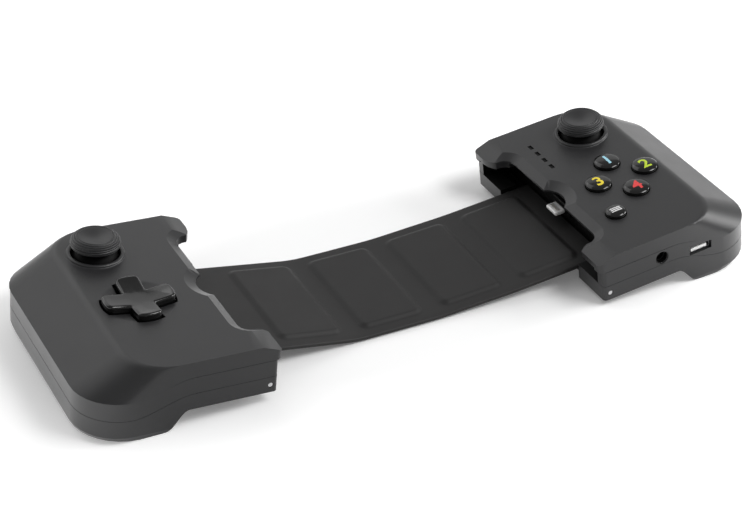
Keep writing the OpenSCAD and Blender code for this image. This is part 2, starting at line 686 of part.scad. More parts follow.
// Right grip, fixed pieces
module right_top_cover() color(shell_dark) at_right() difference() {
  union() {
    top_shell();
    top_bosses();
  }
  for (p = button_places)
    translate([p[0], p[1], board_top]) cylinder(r = button_radius + button_clearance, h = 20);
  translate([menu_place[0], menu_place[1], board_top])
    cylinder(r = menu_radius + button_clearance, h = 20);
  for (y = light_y)
    block(light_u - light_half[0], light_u + light_half[0], y - light_half[1], y + light_half[1],
      board_top, above);
}
module right_mid_frame() color(shell_dark) at_right() difference() {
  union() {
    mid_shell();
    mid_wall(true);
  }
  rod_y(audio_u, audio_w, audio_window, -grip_depth, audio_back + 1);
  block(charge_u - charge_half[0] - 0.2, charge_u + charge_half[0] + 0.2, -grip_depth, charge_back + 0.2,
    charge_w - charge_half[1] - 0.15, charge_w + charge_half[1] + 0.15);
}
module right_bottom_cover() color(shell_dark) at_right() bottom_shell();
module right_stick_collar() color(shell_dark) at_right() stick_collar_shape();
module right_board() color("#1d4d33") at_right() board_shape(true);
module right_stick_base() color(inner_black) at_right() stick_base_shape();
module right_contact_mat() color("#55575a") at_right() {
  block(hollow_u + 2.4, cluster_u + 14.8, menu_place[1] - 5.3, cluster_y + button_spread + 5,
    board_top, mat_top);
  for (p = concat(button_places, [menu_place]))
    translate([p[0], p[1], board_top]) cylinder(r = 2.8, h = flange_low - 1.2 - board_top);
}
module right_screws() color("#b4b6b8") at_right() screw_set();
module right_strap_pin() color(steel) at_right() strap_pin();
module right_trigger_pin() color(steel) at_right() trigger_pin();
module battery() color("#5a6470") at_right()
  block(grip_width - 22.9, grip_width - 5.5, -half_depth + 17.7, half_depth - 17.7, -swell + 1.9, 2);
module light_pipe() color("#d9dcdc") at_right() {
  block(light_u - 0.7, light_u + 0.9, light_y[3] - 2, light_y[0] + 1.2, ceiling - 1.6, ceiling);
  for (y = light_y)
    block(light_u - light_half[0] + light_fit, light_u + light_half[0] - light_fit,
      y - light_half[1] + light_fit, y + light_half[1] - light_fit, ceiling - 0.5, grip_height - 0.3);
}
module audio_socket() color("#17181a") at_right() difference() {
  rod_y(audio_u, audio_w, audio_case, -half_depth + wall + 0.25, audio_back);
  rod_y(audio_u, audio_w, audio_bore, -grip_depth, audio_back - 1.4);
}
module charge_socket() color("#b9bbbd") at_right() {
  inner = [charge_half[0] - charge_wall, charge_half[1] - charge_wall];
  difference() {
    block(charge_u - charge_half[0], charge_u + charge_half[0], -half_depth + 1.3, charge_back,
      charge_w - charge_half[1], charge_w + charge_half[1]);
    block(charge_u - inner[0], charge_u + inner[0], -grip_depth, charge_back - 0.8,
      charge_w - inner[1], charge_w + inner[1]);
  }
  block(charge_u - 2.4, charge_u + 2.4, -half_depth + 2.4, charge_back - 0.4,
    charge_w - 0.2, charge_w + inner[1] + 0.1);
}
module phone_plug() color("#cfd1d2") at_right()
  block(slot_depth - plug_reach, slot_depth + 1.2, plug_y - plug_half[0], plug_y + plug_half[0],
    plug_w - plug_half[1], plug_w + plug_half[1]);
module plug_carrier() color("#161617") at_right() difference() {
  block(slot_depth - 1.2, slot_depth + 2.4, plug_y - carrier_half, plug_y + carrier_half,
    lower_seam + 1.1, upper_seam - 0.2);
  block(0, slot_depth + 1.2, plug_y - plug_half[0], plug_y + plug_half[0],
    plug_w - plug_half[1], plug_w + plug_half[1]);
}

// Right grip, moving pieces
module right_stick_gimbal() color(ring_grey) at_right() gimbal_ring(stick_u, stick_y, stick_pivot);
module right_stick_stem() color(inner_black) at_right() stick_stem_shape();
module right_stick_skirt() color(gloss_black) at_right() stick_skirt_shape();
module right_stick_cap() color("#242526") at_right() stick_cap_shape();
module button_rear() color(gloss_black) at_right() round_button(button_places[0], button_radius);
module button_outer() color(gloss_black) at_right() round_button(button_places[1], button_radius);
module button_inner() color(gloss_black) at_right() round_button(button_places[2], button_radius);
module button_front() color(gloss_black) at_right() round_button(button_places[3], button_radius);
module menu_button() color(gloss_black) at_right() round_button(menu_place, menu_radius);
module right_shoulder() color(gloss_black) at_right() shoulder_shape();
module right_trigger() color(gloss_black) at_right() trigger_shape();

left_top_cover();
left_mid_frame();
left_bottom_cover();
left_stick_collar();
left_board();
left_stick_base();
dpad_cradle();
left_contact_mat();
left_screws();
left_strap_pin();
left_trigger_pin();
left_phone_stop();
left_stick_gimbal();
left_stick_stem();
left_stick_skirt();
left_stick_cap();
dpad_rocker();
dpad();
left_shoulder();
left_trigger();
strap_band_1();
strap_band_2();
strap_band_3();
strap_band_4();
strap_pad_1();
strap_pad_2();
strap_pad_3();
strap_pad_4();
right_top_cover();
right_mid_frame();
right_bottom_cover();
right_stick_collar();
right_board();
right_stick_base();
right_contact_mat();
right_screws();
right_strap_pin();
right_trigger_pin();
battery();
light_pipe();
audio_socket();
charge_socket();
phone_plug();
plug_carrier();
right_stick_gimbal();
right_stick_stem();
right_stick_skirt();
right_stick_cap();
button_rear();
button_outer();
button_inner();
button_front();
menu_button();
right_shoulder();
right_trigger();
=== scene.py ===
# %% [markdown]
# # A mobile game controller, dressed over its CAD frame
#
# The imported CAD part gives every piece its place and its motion. This lesson gives the pieces their looks:
# soft edges, moulded rubber, glossy controls and studio light. Lengths in the text are millimetres, and
# Blender works in metres.

# %% Load the frame
import json
import math
import bmesh
import bpy
from mathutils import Euler, Matrix, Vector
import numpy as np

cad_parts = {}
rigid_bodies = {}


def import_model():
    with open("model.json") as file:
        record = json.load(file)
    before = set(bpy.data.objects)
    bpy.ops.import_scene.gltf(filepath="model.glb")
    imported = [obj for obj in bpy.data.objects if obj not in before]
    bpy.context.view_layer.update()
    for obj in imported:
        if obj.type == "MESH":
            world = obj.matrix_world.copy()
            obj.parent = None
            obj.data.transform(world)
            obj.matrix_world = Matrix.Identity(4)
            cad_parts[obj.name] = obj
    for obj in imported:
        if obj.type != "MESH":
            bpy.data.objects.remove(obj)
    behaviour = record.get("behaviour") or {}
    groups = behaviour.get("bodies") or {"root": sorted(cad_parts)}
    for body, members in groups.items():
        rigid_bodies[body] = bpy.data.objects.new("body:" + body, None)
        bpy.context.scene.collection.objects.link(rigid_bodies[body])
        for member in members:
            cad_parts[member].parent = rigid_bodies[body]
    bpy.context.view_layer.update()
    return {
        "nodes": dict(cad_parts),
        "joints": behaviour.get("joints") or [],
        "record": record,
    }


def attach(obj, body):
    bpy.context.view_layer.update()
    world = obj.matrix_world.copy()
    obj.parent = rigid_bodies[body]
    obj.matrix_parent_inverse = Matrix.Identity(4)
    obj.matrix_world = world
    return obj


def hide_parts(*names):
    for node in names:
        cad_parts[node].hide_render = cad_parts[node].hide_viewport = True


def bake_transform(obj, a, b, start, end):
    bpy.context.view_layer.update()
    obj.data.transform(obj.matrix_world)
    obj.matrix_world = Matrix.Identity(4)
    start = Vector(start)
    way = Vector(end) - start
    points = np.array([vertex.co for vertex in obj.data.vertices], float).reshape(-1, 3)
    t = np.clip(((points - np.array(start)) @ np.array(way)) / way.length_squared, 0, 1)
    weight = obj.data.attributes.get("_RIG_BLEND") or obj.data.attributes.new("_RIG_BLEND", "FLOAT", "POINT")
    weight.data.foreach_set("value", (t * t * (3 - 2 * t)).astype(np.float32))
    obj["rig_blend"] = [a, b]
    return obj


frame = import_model()
nodes = frame["nodes"]
joints = {j["name"]: j for j in frame["joints"]}
body_of_node = {n: b for b, names in frame["record"]["behaviour"]["bodies"].items() for n in names}
slot_of_node = {s["node"]: s["material_slot"] for s in frame["record"]["subparts"]}

# %% [markdown]
# ## Two grips, two local frames
#
# Both grips share one plan: u runs outward from the inner edge, y runs to the rear, and w runs up, in
# millimetres. The left grip mirrors the right one, and each leans a little, outer side up. The lean could
# be written here as an angle. The stick's first hinge runs along u through a known point of the plan, so it
# fixes the whole frame, and no angle has to be written twice.

# %% Local frames of the grips
MM = 0.001
STICK = Vector((35.0, 27.0, 12.5))


def grip_frame(side):
    """The matrix from a grip's plan in millimetres to the scene in metres."""
    hinge = joints[side + "_stick_fore_aft"]
    rear = Vector((0, 1, 0))
    out = Vector(hinge["axis"]) * (1 if side == "right" else -1)
    up = out.cross(rear) if side == "right" else rear.cross(out)
    turn = Matrix((out, rear, up)).transposed()
    origin = Vector(hinge["pos_m"]) - turn @ STICK * MM
    return Matrix.Translation(origin) @ (turn * MM).to_4x4()


GRIPS = {side: grip_frame(side) for side in ("left", "right")}
PLANS = {side: GRIPS[side].inverted() for side in GRIPS}
print({side: [round(c, 4) for c in m.translation] for side, m in GRIPS.items()})

# %% [markdown]
# ## Materials
#
# The shells are dark plastic with a soft-touch coat, which looks matte and slightly grainy close up. A fine
# noise drives a faint bump, and a wider one shifts the roughness, because a hand-held surface is never
# evenly matte. Painted pictures could do the same, but noise in Object coordinates needs no unwrapping and
# stays fine at every distance. The controls are glossy black plastic, and the strap and the stick caps are
# rubber.

# %% Material maker
GRAIN_SIZE = 0.25
GRAIN_DETAIL = 2.0
BUMP_DEPTH = 0.05
MOTTLE_SIZE = 12
MOTTLE_DETAIL = 3.0
COAT_ROUGHNESS = 0.05
MATERIALS = {}


def noise_output(tree, size, detail):
    """A noise in Object coordinates, with spots of a size in millimetres."""
    place = tree.nodes.new("ShaderNodeTexCoord")
    noise = tree.nodes.new("ShaderNodeTexNoise")
    noise.inputs["Scale"].default_value = 1 / (size * MM)
    noise.inputs["Detail"].default_value = detail
    tree.links.new(place.outputs["Object"], noise.inputs["Vector"])
    return noise.outputs["Fac"]


def make_material(name, color, roughness, metallic=0.0, grain=0.0, mottle=0.0, coat=0.0, specular=0.5):
    """A surface with a fine bump (grain) and a wide change of roughness (mottle), kept under its name."""
    mat = bpy.data.materials.new(name)
    mat.use_nodes = True
    tree = mat.node_tree
    shader = tree.nodes["Principled BSDF"]
    shader.inputs["Base Color"].default_value = (*color, 1)
    shader.inputs["Roughness"].default_value = roughness
    shader.inputs["Metallic"].default_value = metallic
    shader.inputs["Coat Weight"].default_value = coat
    shader.inputs["Coat Roughness"].default_value = COAT_ROUGHNESS
    shader.inputs["Specular IOR Level"].default_value = specular
    if grain > 0:
        bump = tree.nodes.new("ShaderNodeBump")
        bump.inputs["Strength"].default_value = grain
        bump.inputs["Distance"].default_value = BUMP_DEPTH * MM
        tree.links.new(noise_output(tree, GRAIN_SIZE, GRAIN_DETAIL), bump.inputs["Height"])
        tree.links.new(bump.outputs["Normal"], shader.inputs["Normal"])
    if mottle > 0:
        spread = tree.nodes.new("ShaderNodeMapRange")
        spread.inputs["To Min"].default_value = roughness - mottle
        spread.inputs["To Max"].default_value = roughness + mottle
        tree.links.new(noise_output(tree, MOTTLE_SIZE, MOTTLE_DETAIL), spread.inputs["Value"])
        tree.links.new(spread.outputs["Result"], shader.inputs["Roughness"])
    MATERIALS[name] = mat
    return mat


# %% The controller's materials
make_material("shell_plastic", (0.021, 0.021, 0.022), 0.40, grain=0.35, mottle=0.04)
make_material("control_gloss", (0.005, 0.005, 0.005), 0.13, mottle=0.03, coat=0.1)
make_material("stick_rubber", (0.018, 0.018, 0.019), 0.45, grain=0.3, mottle=0.04)
make_material("strap_rubber", (0.017, 0.0165, 0.0165), 0.58, grain=0.3, mottle=0.05, specular=0.35)
make_material("steel", (0.62, 0.62, 0.63), 0.28, metallic=1.0, mottle=0.08)
make_material("board_green", (0.02, 0.12, 0.06), 0.45, mottle=0.1)
# The dull black of the insides. On the phone slot's faces and on the seam bevels it is painted shade.
make_material("inner_black", (0.005, 0.005, 0.005), 0.5, grain=0.2, mottle=0.05, specular=0.15)
make_material("contact_rubber", (0.09, 0.09, 0.10), 0.6, grain=0.3)
make_material("battery_wrap", (0.10, 0.12, 0.16), 0.35, mottle=0.1)
make_material("light_guide", (0.003, 0.003, 0.003), 0.4, mottle=0.05, specular=0.1)
make_material("plug_metal", (0.90, 0.90, 0.89), 0.3, metallic=0.1, mottle=0.06)
for name, obj in nodes.items():
    obj.data.materials.clear()
    obj.data.materials.append(MATERIALS[slot_of_node[name]])
print(len(MATERIALS), "materials on", len(nodes), "CAD nodes")

# %% [markdown]
# ## One way to finish a piece
#
# Every new piece ends the same way: its mesh becomes an object at the origin, gets smooth shading with kept
# creases, rides on a body and hides the CAD nodes that it replaces. One helper does this, so that no piece
# forgets a step.

# %% Piece helper
def add_piece(name, bm, slot, body, replaced=(), crease=35, finish=None):
    """An object from a bmesh. Its finish is its slot's material, unless another one is named."""
    mesh = bpy.data.meshes.new(name)
    bm.to_mesh(mesh)
    bm.free()
    mesh.shade_smooth()
    mesh.set_sharp_from_angle(angle=math.radians(crease))
    mesh.materials.append(MATERIALS[finish or slot])
    obj = bpy.data.objects.new(name, mesh)
    bpy.context.scene.collection.objects.link(obj)
    if body:
        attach(obj, body)
    if replaced:
        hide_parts(*replaced)
    print(name, len(mesh.polygons), "faces")
    return obj


# %% [markdown]
# ## Turned forms
#
# Sticks, collars, round buttons and a dish in one cover are bodies of revolution. Each starts as a few
# points of its section in the r, w plane, and bmesh's spin sweeps them around the axis. A Screw modifier
# could do it too, but a spun bmesh is finished geometry at once. A section of real curves gives a smoother
# surface than the CAD's short straight runs.

# %% Spin a section around a grip's w axis
SPIN_MERGE = 0.001


def spun(side, place, section, steps=72, turn=Matrix()):
    """A turned bmesh: section is a list of (r, w) points, place its origin in the plan, turn its axis."""
    bm = bmesh.new()
    verts = [bm.verts.new((r, 0, w)) for r, w in section]
    edges = [bm.edges.new(pair) for pair in zip(verts, verts[1:])]
    bmesh.ops.spin(bm, geom=verts + edges, cent=(0, 0, 0), axis=(0, 0, 1), angle=math.tau, steps=steps,
                   use_merge=True)
    bmesh.ops.remove_doubles(bm, verts=bm.verts, dist=SPIN_MERGE)
    bmesh.ops.transform(bm, matrix=GRIPS[side] @ Matrix.Translation(place) @ turn, verts=bm.verts)
    bmesh.ops.recalc_face_normals(bm, faces=bm.faces)
    return bm


def arc(center, radii, start, end, count):
    """Points on an ellipse's arc, angles in degrees."""
    angles = [math.radians(start + (end - start) * i / count) for i in range(count + 1)]
    return [(center[0] + radii[0] * math.cos(a), center[1] + radii[1] * math.sin(a)) for a in angles]


# %% [markdown]
# ## Moulded shells with soft edges
#
# A moulded shell has no sharp edge: the tool is rounded everywhere. The CAD solids hold the right form, so
# each shell is a merged copy of its solid, and a Bevel modifier rounds the edges. One width for all edges
# would swell the small ones into each other. Here each edge carries a weight, which is limited by the room
# that the edges beside it leave.

# %% A merged solid, with a form scooped out of it
MERGE = 0.002
FLAT_ANGLE = 0.8


def scooped(solid, cutter):
    """A solid without the cutter's form: both become passing objects, and a Boolean modifier cuts."""
    objects = []
    for name, bm in (("solid", solid), ("cutter", cutter)):
        mesh = bpy.data.meshes.new(name)
        bm.to_mesh(mesh)
        bm.free()
        objects.append(bpy.data.objects.new(name, mesh))
        bpy.context.scene.collection.objects.link(objects[-1])
    cut = objects[0].modifiers.new("scoop", "BOOLEAN")
    cut.object = objects[1]
    cut.solver = "EXACT"
    graph = bpy.context.evaluated_depsgraph_get()
    result = bpy.data.meshes.new_from_object(objects[0].evaluated_get(graph))
    bm = bmesh.new()
    bm.from_mesh(result)
    bpy.data.batch_remove([*objects, *[obj.data for obj in objects], result])
    return bm


def merged_solid(node, scoop, cuts):
    """A CAD node's solid, less the scoop, with flat faces joined and then divided by the planes in cuts."""
    bm = bmesh.new()
    bm.from_mesh(nodes[node].data)
    bmesh.ops.remove_doubles(bm, verts=bm.verts, dist=MERGE * MM)
    if scoop:
        bm = scooped(bm, scoop)
        bmesh.ops.remove_doubles(bm, verts=bm.verts, dist=MERGE * MM)
    bmesh.ops.dissolve_limit(bm, angle_limit=math.radians(FLAT_ANGLE), verts=bm.verts[:], edges=bm.edges[:])
    for point, normal in cuts:
        geom = bm.verts[:] + bm.edges[:] + bm.faces[:]
        bmesh.ops.bisect_plane(bm, geom=geom, dist=MERGE * MM, plane_co=point, plane_no=normal)
    return bm


# %% Weights for the edges
SEAM = 0.5
LEAST_ANGLE = 22
STRAIGHT_ON = 125
SHARED_ROOM = 0.45
OWN_ROOM = 0.9
LEAST_SINE = 0.1


def room(edge, wanted):
    """Millimetres of rounding that the edges beside this one leave free."""
    free = math.inf
    for v in edge.verts:
        along = edge.other_vert(v).co - v.co
        for other in v.link_edges:
            if other is edge or not set(edge.link_faces) & set(other.link_faces):
                continue
            turn = along.angle(other.other_vert(v).co - v.co)
            if other in wanted and math.degrees(turn) > STRAIGHT_ON:
                continue
            share = SHARED_ROOM if other in wanted else OWN_ROOM
            free = min(free, share * other.calc_length() * max(math.sin(turn), LEAST_SINE))
    return free / MM


def weigh_edges(bm, width, rounding, seam):
    """Gives each sharp edge its share of the rounding's width, or of the seam's where seam(edge) is true."""
    for name in ("rounded", "seam"):
        bm.edges.layers.float.new(name)
    rounded = bm.edges.layers.float["rounded"]
    line = bm.edges.layers.float["seam"]
    angles = {e: math.degrees(e.calc_face_angle(0)) for e in bm.edges if len(e.link_faces) == 2}
    sharp = {e: angle for e, angle in angles.items() if angle > LEAST_ANGLE}
    wanted = {e: rounding(e, angle) if rounding else width for e, angle in sharp.items()}
    for edge, millimetres in wanted.items():
        if seam and seam(edge):
            edge[line] = min(SEAM, room(edge, wanted)) / SEAM
        else:
            edge[rounded] = min(millimetres, room(edge, wanted)) / width


# %% Copy a CAD node and round its edges
SHELL_CREASE = 40


def add_bevel(piece, name, layer, width, segments):
    bevel = piece.modifiers.new(name, "BEVEL")
    bevel.limit_method = "WEIGHT"
    bevel.edge_weight = layer
    bevel.width = width * MM
    bevel.segments = segments
    bevel.use_clamp_overlap = True
    bevel.miter_outer = "MITER_ARC"
    return bevel


def soft_copy(node, width, rounding=None, segments=3, finish=None, painted_shade=None, seam=None, cuts=(),
              scoop=None):
    """A copy of a CAD node. Each sharp edge is rounded by width millimetres, or by what rounding gives it.

    Faces for which the shade test is true take the dull black of the insides: painted shade in the phone
    slot. Edges for which the seam test is true are cut off narrow, and their new faces take that black too:
    painted shade in the seam. The planes in cuts divide long edges, so that the rounding can change along
    them. The form in scoop is taken away first.
    """
    bm = merged_solid(node, scoop, cuts)
    weigh_edges(bm, width, rounding, seam)
    for face in bm.faces:
        # Faces in the phone slot take the second material, the black of the insides: painted shade.
        face.material_index = int(bool(painted_shade) and painted_shade(face.calc_center_median()))
    slot = slot_of_node[node]
    piece = add_piece(node + "_skin", bm, slot, body_of_node[node], [node], SHELL_CREASE, finish)
    if painted_shade:
        piece.data.materials.append(MATERIALS["inner_black"])
    if seam:
        # The seam bevel's narrow faces take the black of the insides: painted shade in the groove.
        add_bevel(piece, "seam", "seam", SEAM, 1).material = 1
    add_bevel(piece, "rounded edges", "rounded", width, segments)
    normals = piece.modifiers.new("flat faces stay flat", "WEIGHTED_NORMAL")
    normals.keep_sharp = True


# %% [markdown]
# ### Top covers
#
# The front and rear edges of a cover's flat top are rounded tightly near the phone and widely at the outer
# end. A bevel's width can change only from vertex to vertex, so planes across the grip divide the long
# edges first. Faces inside the phone slot are painted dull black: painted shade, where the slot's walls
# keep the light out.

# %% The rounding of a top cover
GRIP_HEIGHT = 17.1
HALF_DEPTH = 43.7
COVER_ROUND = 2.4
LOW_ROUND = 0.3
SLOPE_ROUND = 0.6
RECESS_ROUND = 1.2
BORE_ROUND = 0.25
RIM_DEPTH = 2.2
TOP_SLACK = 0.1
RECESS_END = 15.0
RECESS_ANGLE = 45
FRONT_EDGE = HALF_DEPTH - 8
FRONT_ROUNDS = ((0.3, (2, 6)), (1.0, (20, 45)))
CUTS_U = (2.5, 4, 6, 9, 13, 18, 24, 30, 36, 41, 46)


def ramp(value, start, end):
    """0 at start, 1 at end, straight between them and level beyond."""
    return min(max((value - start) / (end - start), 0), 1)


def cover_rounding(plan):
    """Millimetres of rounding for each edge of a top cover."""
    def rounding(edge, angle):
        ends = [plan @ v.co for v in edge.verts]
        middle = (ends[0] + ends[1]) / 2
        low = min(e.z for e in ends)
        if low < GRIP_HEIGHT - RIM_DEPTH:
            return LOW_ROUND
        if low < GRIP_HEIGHT - TOP_SLACK:
            return SLOPE_ROUND
        if abs(middle.y) > FRONT_EDGE:
            return LOW_ROUND + sum(more * ramp(middle.x, *span) for more, span in FRONT_ROUNDS)
        if middle.x < RECESS_END and angle < RECESS_ANGLE:
            return RECESS_ROUND
        return BORE_ROUND
    return rounding


def across(side, places):
    """Planes across a grip at places along u."""
    grip = GRIPS[side]
    return [(grip @ Vector((u, 0, 0)), grip.to_3x3() @ Vector((1, 0, 0))) for u in places]


# %% The phone slot's faces, painted in shade
SLOT_START = 0.4
SLOT_END = 16
SLOT_HALF = HALF_DEPTH - 2
SLOT_LOW = 0.7
SLOT_HIGH = GRIP_HEIGHT - 4.4


def slot_shade(plan):
    """True for faces inside the phone slot, away from the grip's outer sides; these faces get painted shade.
    """
    def painted_shade(center):
        place = plan @ center
        inside = SLOT_START < place.x < SLOT_END and SLOT_LOW < place.z < SLOT_HIGH
        return inside and abs(place.y) < SLOT_HALF
    return painted_shade


# %% [markdown]
# ### A dish around the direction pad
#
# The left cover sinks a little under the direction pad, so that a thumb finds it. A spun lens cuts this
# shallow dish. Moving the cover's vertices would need a fine grid in the flat top, and the lens needs none.

# %% Top covers
CLUSTER = Vector((32.2, -4.8))
DISH_RIM = 12.3
DISH_DROP = 1.4
DISH_STEPS = 12


def pad_dish():
    """A shallow lens, as wide as the direction pad, that scoops a dish into the left cover."""
    steps = range(DISH_STEPS + 1)
    drops = [DISH_DROP * (1 - (i / DISH_STEPS) ** 2) for i in steps]
    lens = [(DISH_RIM * i / DISH_STEPS, GRIP_HEIGHT - drop) for i, drop in zip(steps, drops)]
    lens += [(DISH_RIM, GRIP_HEIGHT + 1), (0, GRIP_HEIGHT + 1)]
    return spun("left", (*CLUSTER, 0), lens)


for side, plan in PLANS.items():
    soft_copy(side + "_top_cover", COVER_ROUND, cover_rounding(plan), 4, painted_shade=slot_shade(plan),
              cuts=across(side, CUTS_U), scoop=pad_dish() if side == "left" else None)

# %% [markdown]
# ### Seams, lower shells and rear controls
#
# Three mouldings close each grip, and a thin line of shade shows where two of them meet. A drawn line would
# float on the surface. Here the edges at the joint are cut off narrowly by a second bevel, whose new faces
# take the black of the insides: painted shade in the seam's groove. The shoulder buttons and triggers are
# plain mouldings with soft edges.

# %% Middle frames, bottom covers and rear controls
GRIP_MIDDLE = Vector((32, 0, 0))
LYING = 0.75
STANDING = 0.5
FRAME_ROUND = 0.3
BOTTOM_ROUND = 0.45
SHOULDER_ROUND = 0.5
TRIGGER_ROUND = 0.7


def on_seam(side, both):
    """True for edges between the outer wall and a seam's face. Only upper faces count unless both is set."""
    turn = PLANS[side].to_3x3()

    def seam(edge):
        normals = [(turn @ face.normal).normalized() for face in edge.link_faces]
        lying = [n for n in normals if n.z > LYING or both and n.z < -LYING]
        walls = [n for n in normals if abs(n.z) < STANDING]
        away = PLANS[side] @ edge.verts[0].co - GRIP_MIDDLE
        return bool(lying and walls) and walls[0].xy.dot(away.xy) > 0
    return seam


# The frames and bottom covers get painted shade in the phone slot and in their seams.
for side, plan in PLANS.items():
    soft_copy(side + "_mid_frame", FRAME_ROUND, painted_shade=slot_shade(plan), seam=on_seam(side, True))
    soft_copy(side + "_bottom_cover", BOTTOM_ROUND, painted_shade=slot_shade(plan), seam=on_seam(side, False))
    soft_copy(side + "_shoulder", SHOULDER_ROUND)
    soft_copy(side + "_trigger", TRIGGER_ROUND)

# %% [markdown]
# ## Turned pieces
#
# ### Stick caps
#
# The rubber cap has fine rings around its rim, so that a thumb doesn't slip, and a dish on top. A bump
# could fake the rings, but they show in the cap's outline, so they are modelled: a small wave runs along
# the rim's arc.

# %% Stick caps
STICK_AXIS = Vector((STICK.x, STICK.y, 0))
CAP_RADIUS = 8.4
CAP_UNDER = GRIP_HEIGHT + 3.2
CAP_TOP = GRIP_HEIGHT + 6.9
CAP_FLAT = CAP_RADIUS - 1.3
CAP_FOOT = (0.75, 0.7)
CAP_FOOT_PLACE = (CAP_RADIUS - 0.9, CAP_UNDER + CAP_FOOT[1])
CAP_DISH = 5.7
CAP_DISH_DEPTH = 1.0
CAP_DISH_POWER = 1.3
RIM_FOOT = CAP_UNDER + 1.2
RIM_START = -8
RIM_SWEEP = 92
RINGS = 5
RING_DEPTH = 0.24
RING_POINTS = 8


def ringed_rim():
    """The rim's arc, with round ridges and narrow grooves between them."""
    wide = CAP_RADIUS - CAP_DISH
    high = CAP_TOP - RIM_FOOT
    points = []
    count = RINGS * RING_POINTS
    for i in range(count + 1):
        share = i / count
        angle = math.radians(RIM_START + RIM_SWEEP * share)
        dip = RING_DEPTH * (1 - abs(math.sin(math.pi * RINGS * share)))
        r = CAP_DISH + (wide - dip) * math.cos(angle)
        points.append((r, RIM_FOOT + (high - dip) * math.sin(angle)))
    return points


def cap_section():
    """A flat underside, a small round foot, the ringed rim and the dish."""
    under = [(0, CAP_UNDER), (CAP_FLAT, CAP_UNDER)]
    under += arc(CAP_FOOT_PLACE, CAP_FOOT, -90, -10, 5)
    shares = [i / DISH_STEPS for i in range(1, DISH_STEPS + 1)]
    depths = [CAP_DISH_DEPTH * math.sin(math.pi / 2 * t) ** CAP_DISH_POWER for t in shares]
    dish = [(CAP_DISH * (1 - t), CAP_TOP - depth) for t, depth in zip(shares, depths)]
    return under + ringed_rim() + [(CAP_DISH - 0.1, CAP_TOP - 0.02)] + dish


for side in GRIPS:
    bm = spun(side, STICK_AXIS, cap_section())
    cap = side + "_stick_cap"
    add_piece(cap + "_rubber", bm, "stick_rubber", side + "_stick", [cap], crease=28)

# %% [markdown]
# ### Stick skirts
#
# Under the cap a black ball-shaped skirt closes the bore at every tilt. It is a thin shell with its middle
# on the stick's pivot, so it turns in the bore without touching. A whole ball would do, but most of it
# would be hidden in the grip.

# %% Stick skirts
SKIRT_RADIUS = CAP_RADIUS + 0.2
SKIRT_WALL = 0.6
SKIRT_STEPS = 16
SKIRT_SINK = 0.06
SKIRT_LOW = math.degrees(math.asin(-SKIRT_SINK))
SKIRT_HIGH = math.degrees(math.asin((CAP_UNDER - STICK.z) / SKIRT_RADIUS))
make_material("skirt_black", (0.004, 0.004, 0.004), 0.5, grain=0.2, mottle=0.04, specular=0.06)


def skirt_section():
    inner = SKIRT_RADIUS - SKIRT_WALL
    outside = arc((0, STICK.z), (SKIRT_RADIUS, SKIRT_RADIUS), SKIRT_LOW, SKIRT_HIGH, SKIRT_STEPS)
    inside = arc((0, STICK.z), (inner, inner), SKIRT_HIGH, SKIRT_LOW, SKIRT_STEPS)
    return outside + inside + outside[:1]


for side in GRIPS:
    bm = spun(side, STICK_AXIS, skirt_section())
    skirt = side + "_stick_skirt"
    add_piece(skirt + "_shell", bm, "control_gloss", side + "_stick", [skirt], finish="skirt_black")

# %% [markdown]
# ### Stick collars
#
# The cover rises to a round bead around each stick. The collar could be cut from the cover's own mesh, but
# a spun ring gets a cleaner curve. Its section runs from a small fillet on the flat top over the bead and
# down into the bore.

# %% Stick collars
COLLAR_BORE = CAP_RADIUS - 0.2
COLLAR_BEAD = 0.78
COLLAR_FOOT = 0.15
COLLAR_LIP = 0.95
COLLAR_FILLET = 0.45
COLLAR_SINK = 0.03


def collar_section():
    low = GRIP_HEIGHT + COLLAR_FOOT
    bead = arc((COLLAR_BORE + COLLAR_BEAD, low), (COLLAR_BEAD, COLLAR_LIP - COLLAR_FOOT), 20, 180, 20)
    edge, high = bead[0]
    drop = high - GRIP_HEIGHT + COLLAR_SINK
    fillet = arc((edge + COLLAR_FILLET, high), (COLLAR_FILLET, drop), 270, 185, 6)
    return fillet + bead + [(COLLAR_BORE, GRIP_HEIGHT - 1.0)]


for side in GRIPS:
    bm = spun(side, STICK_AXIS, collar_section())
    add_piece(side + "_stick_collar_ring", bm, "shell_plastic", side + "_grip", [side + "_stick_collar"])

# %% [markdown]
# ### Round buttons
#
# The buttons are glossy caps with a flange below the cover, which keeps them in. A part of a ball would
# look too round: the real cap is nearly flat in the middle and rolls over at its rim. A square and a high
# power of the radius give that crown with one formula.

# %% Buttons
BUTTON_RADIUS = 4.6
MENU_RADIUS = 3.6
BUTTON_SPREAD = 9.6
BUTTON_TOP = GRIP_HEIGHT + 1.85
BUTTON_LOW = GRIP_HEIGHT - 4.2
CROWN_DROP = 0.35
ROLL_DROP = 0.4
FLANGE = 0.6
FLANGE_HIGH = 1.2
WALL_POINTS = (0.4, 0.1)
DOME_STEPS = 18
BUTTON_PLACES = {
    "button_rear": CLUSTER + Vector((0, BUTTON_SPREAD)),
    "button_outer": CLUSTER + Vector((BUTTON_SPREAD, 0)),
    "button_inner": CLUSTER - Vector((BUTTON_SPREAD, 0)),
    "button_front": CLUSTER - Vector((0, BUTTON_SPREAD)),
    "menu_button": Vector((18.5, -22.7)),
}


def dome_height(r, radius):
    """Height of a button's top at a distance r from its axis: a flat crown that rolls over at the rim."""
    return BUTTON_TOP - CROWN_DROP * (r / radius) ** 2 - ROLL_DROP * (r / radius) ** 10


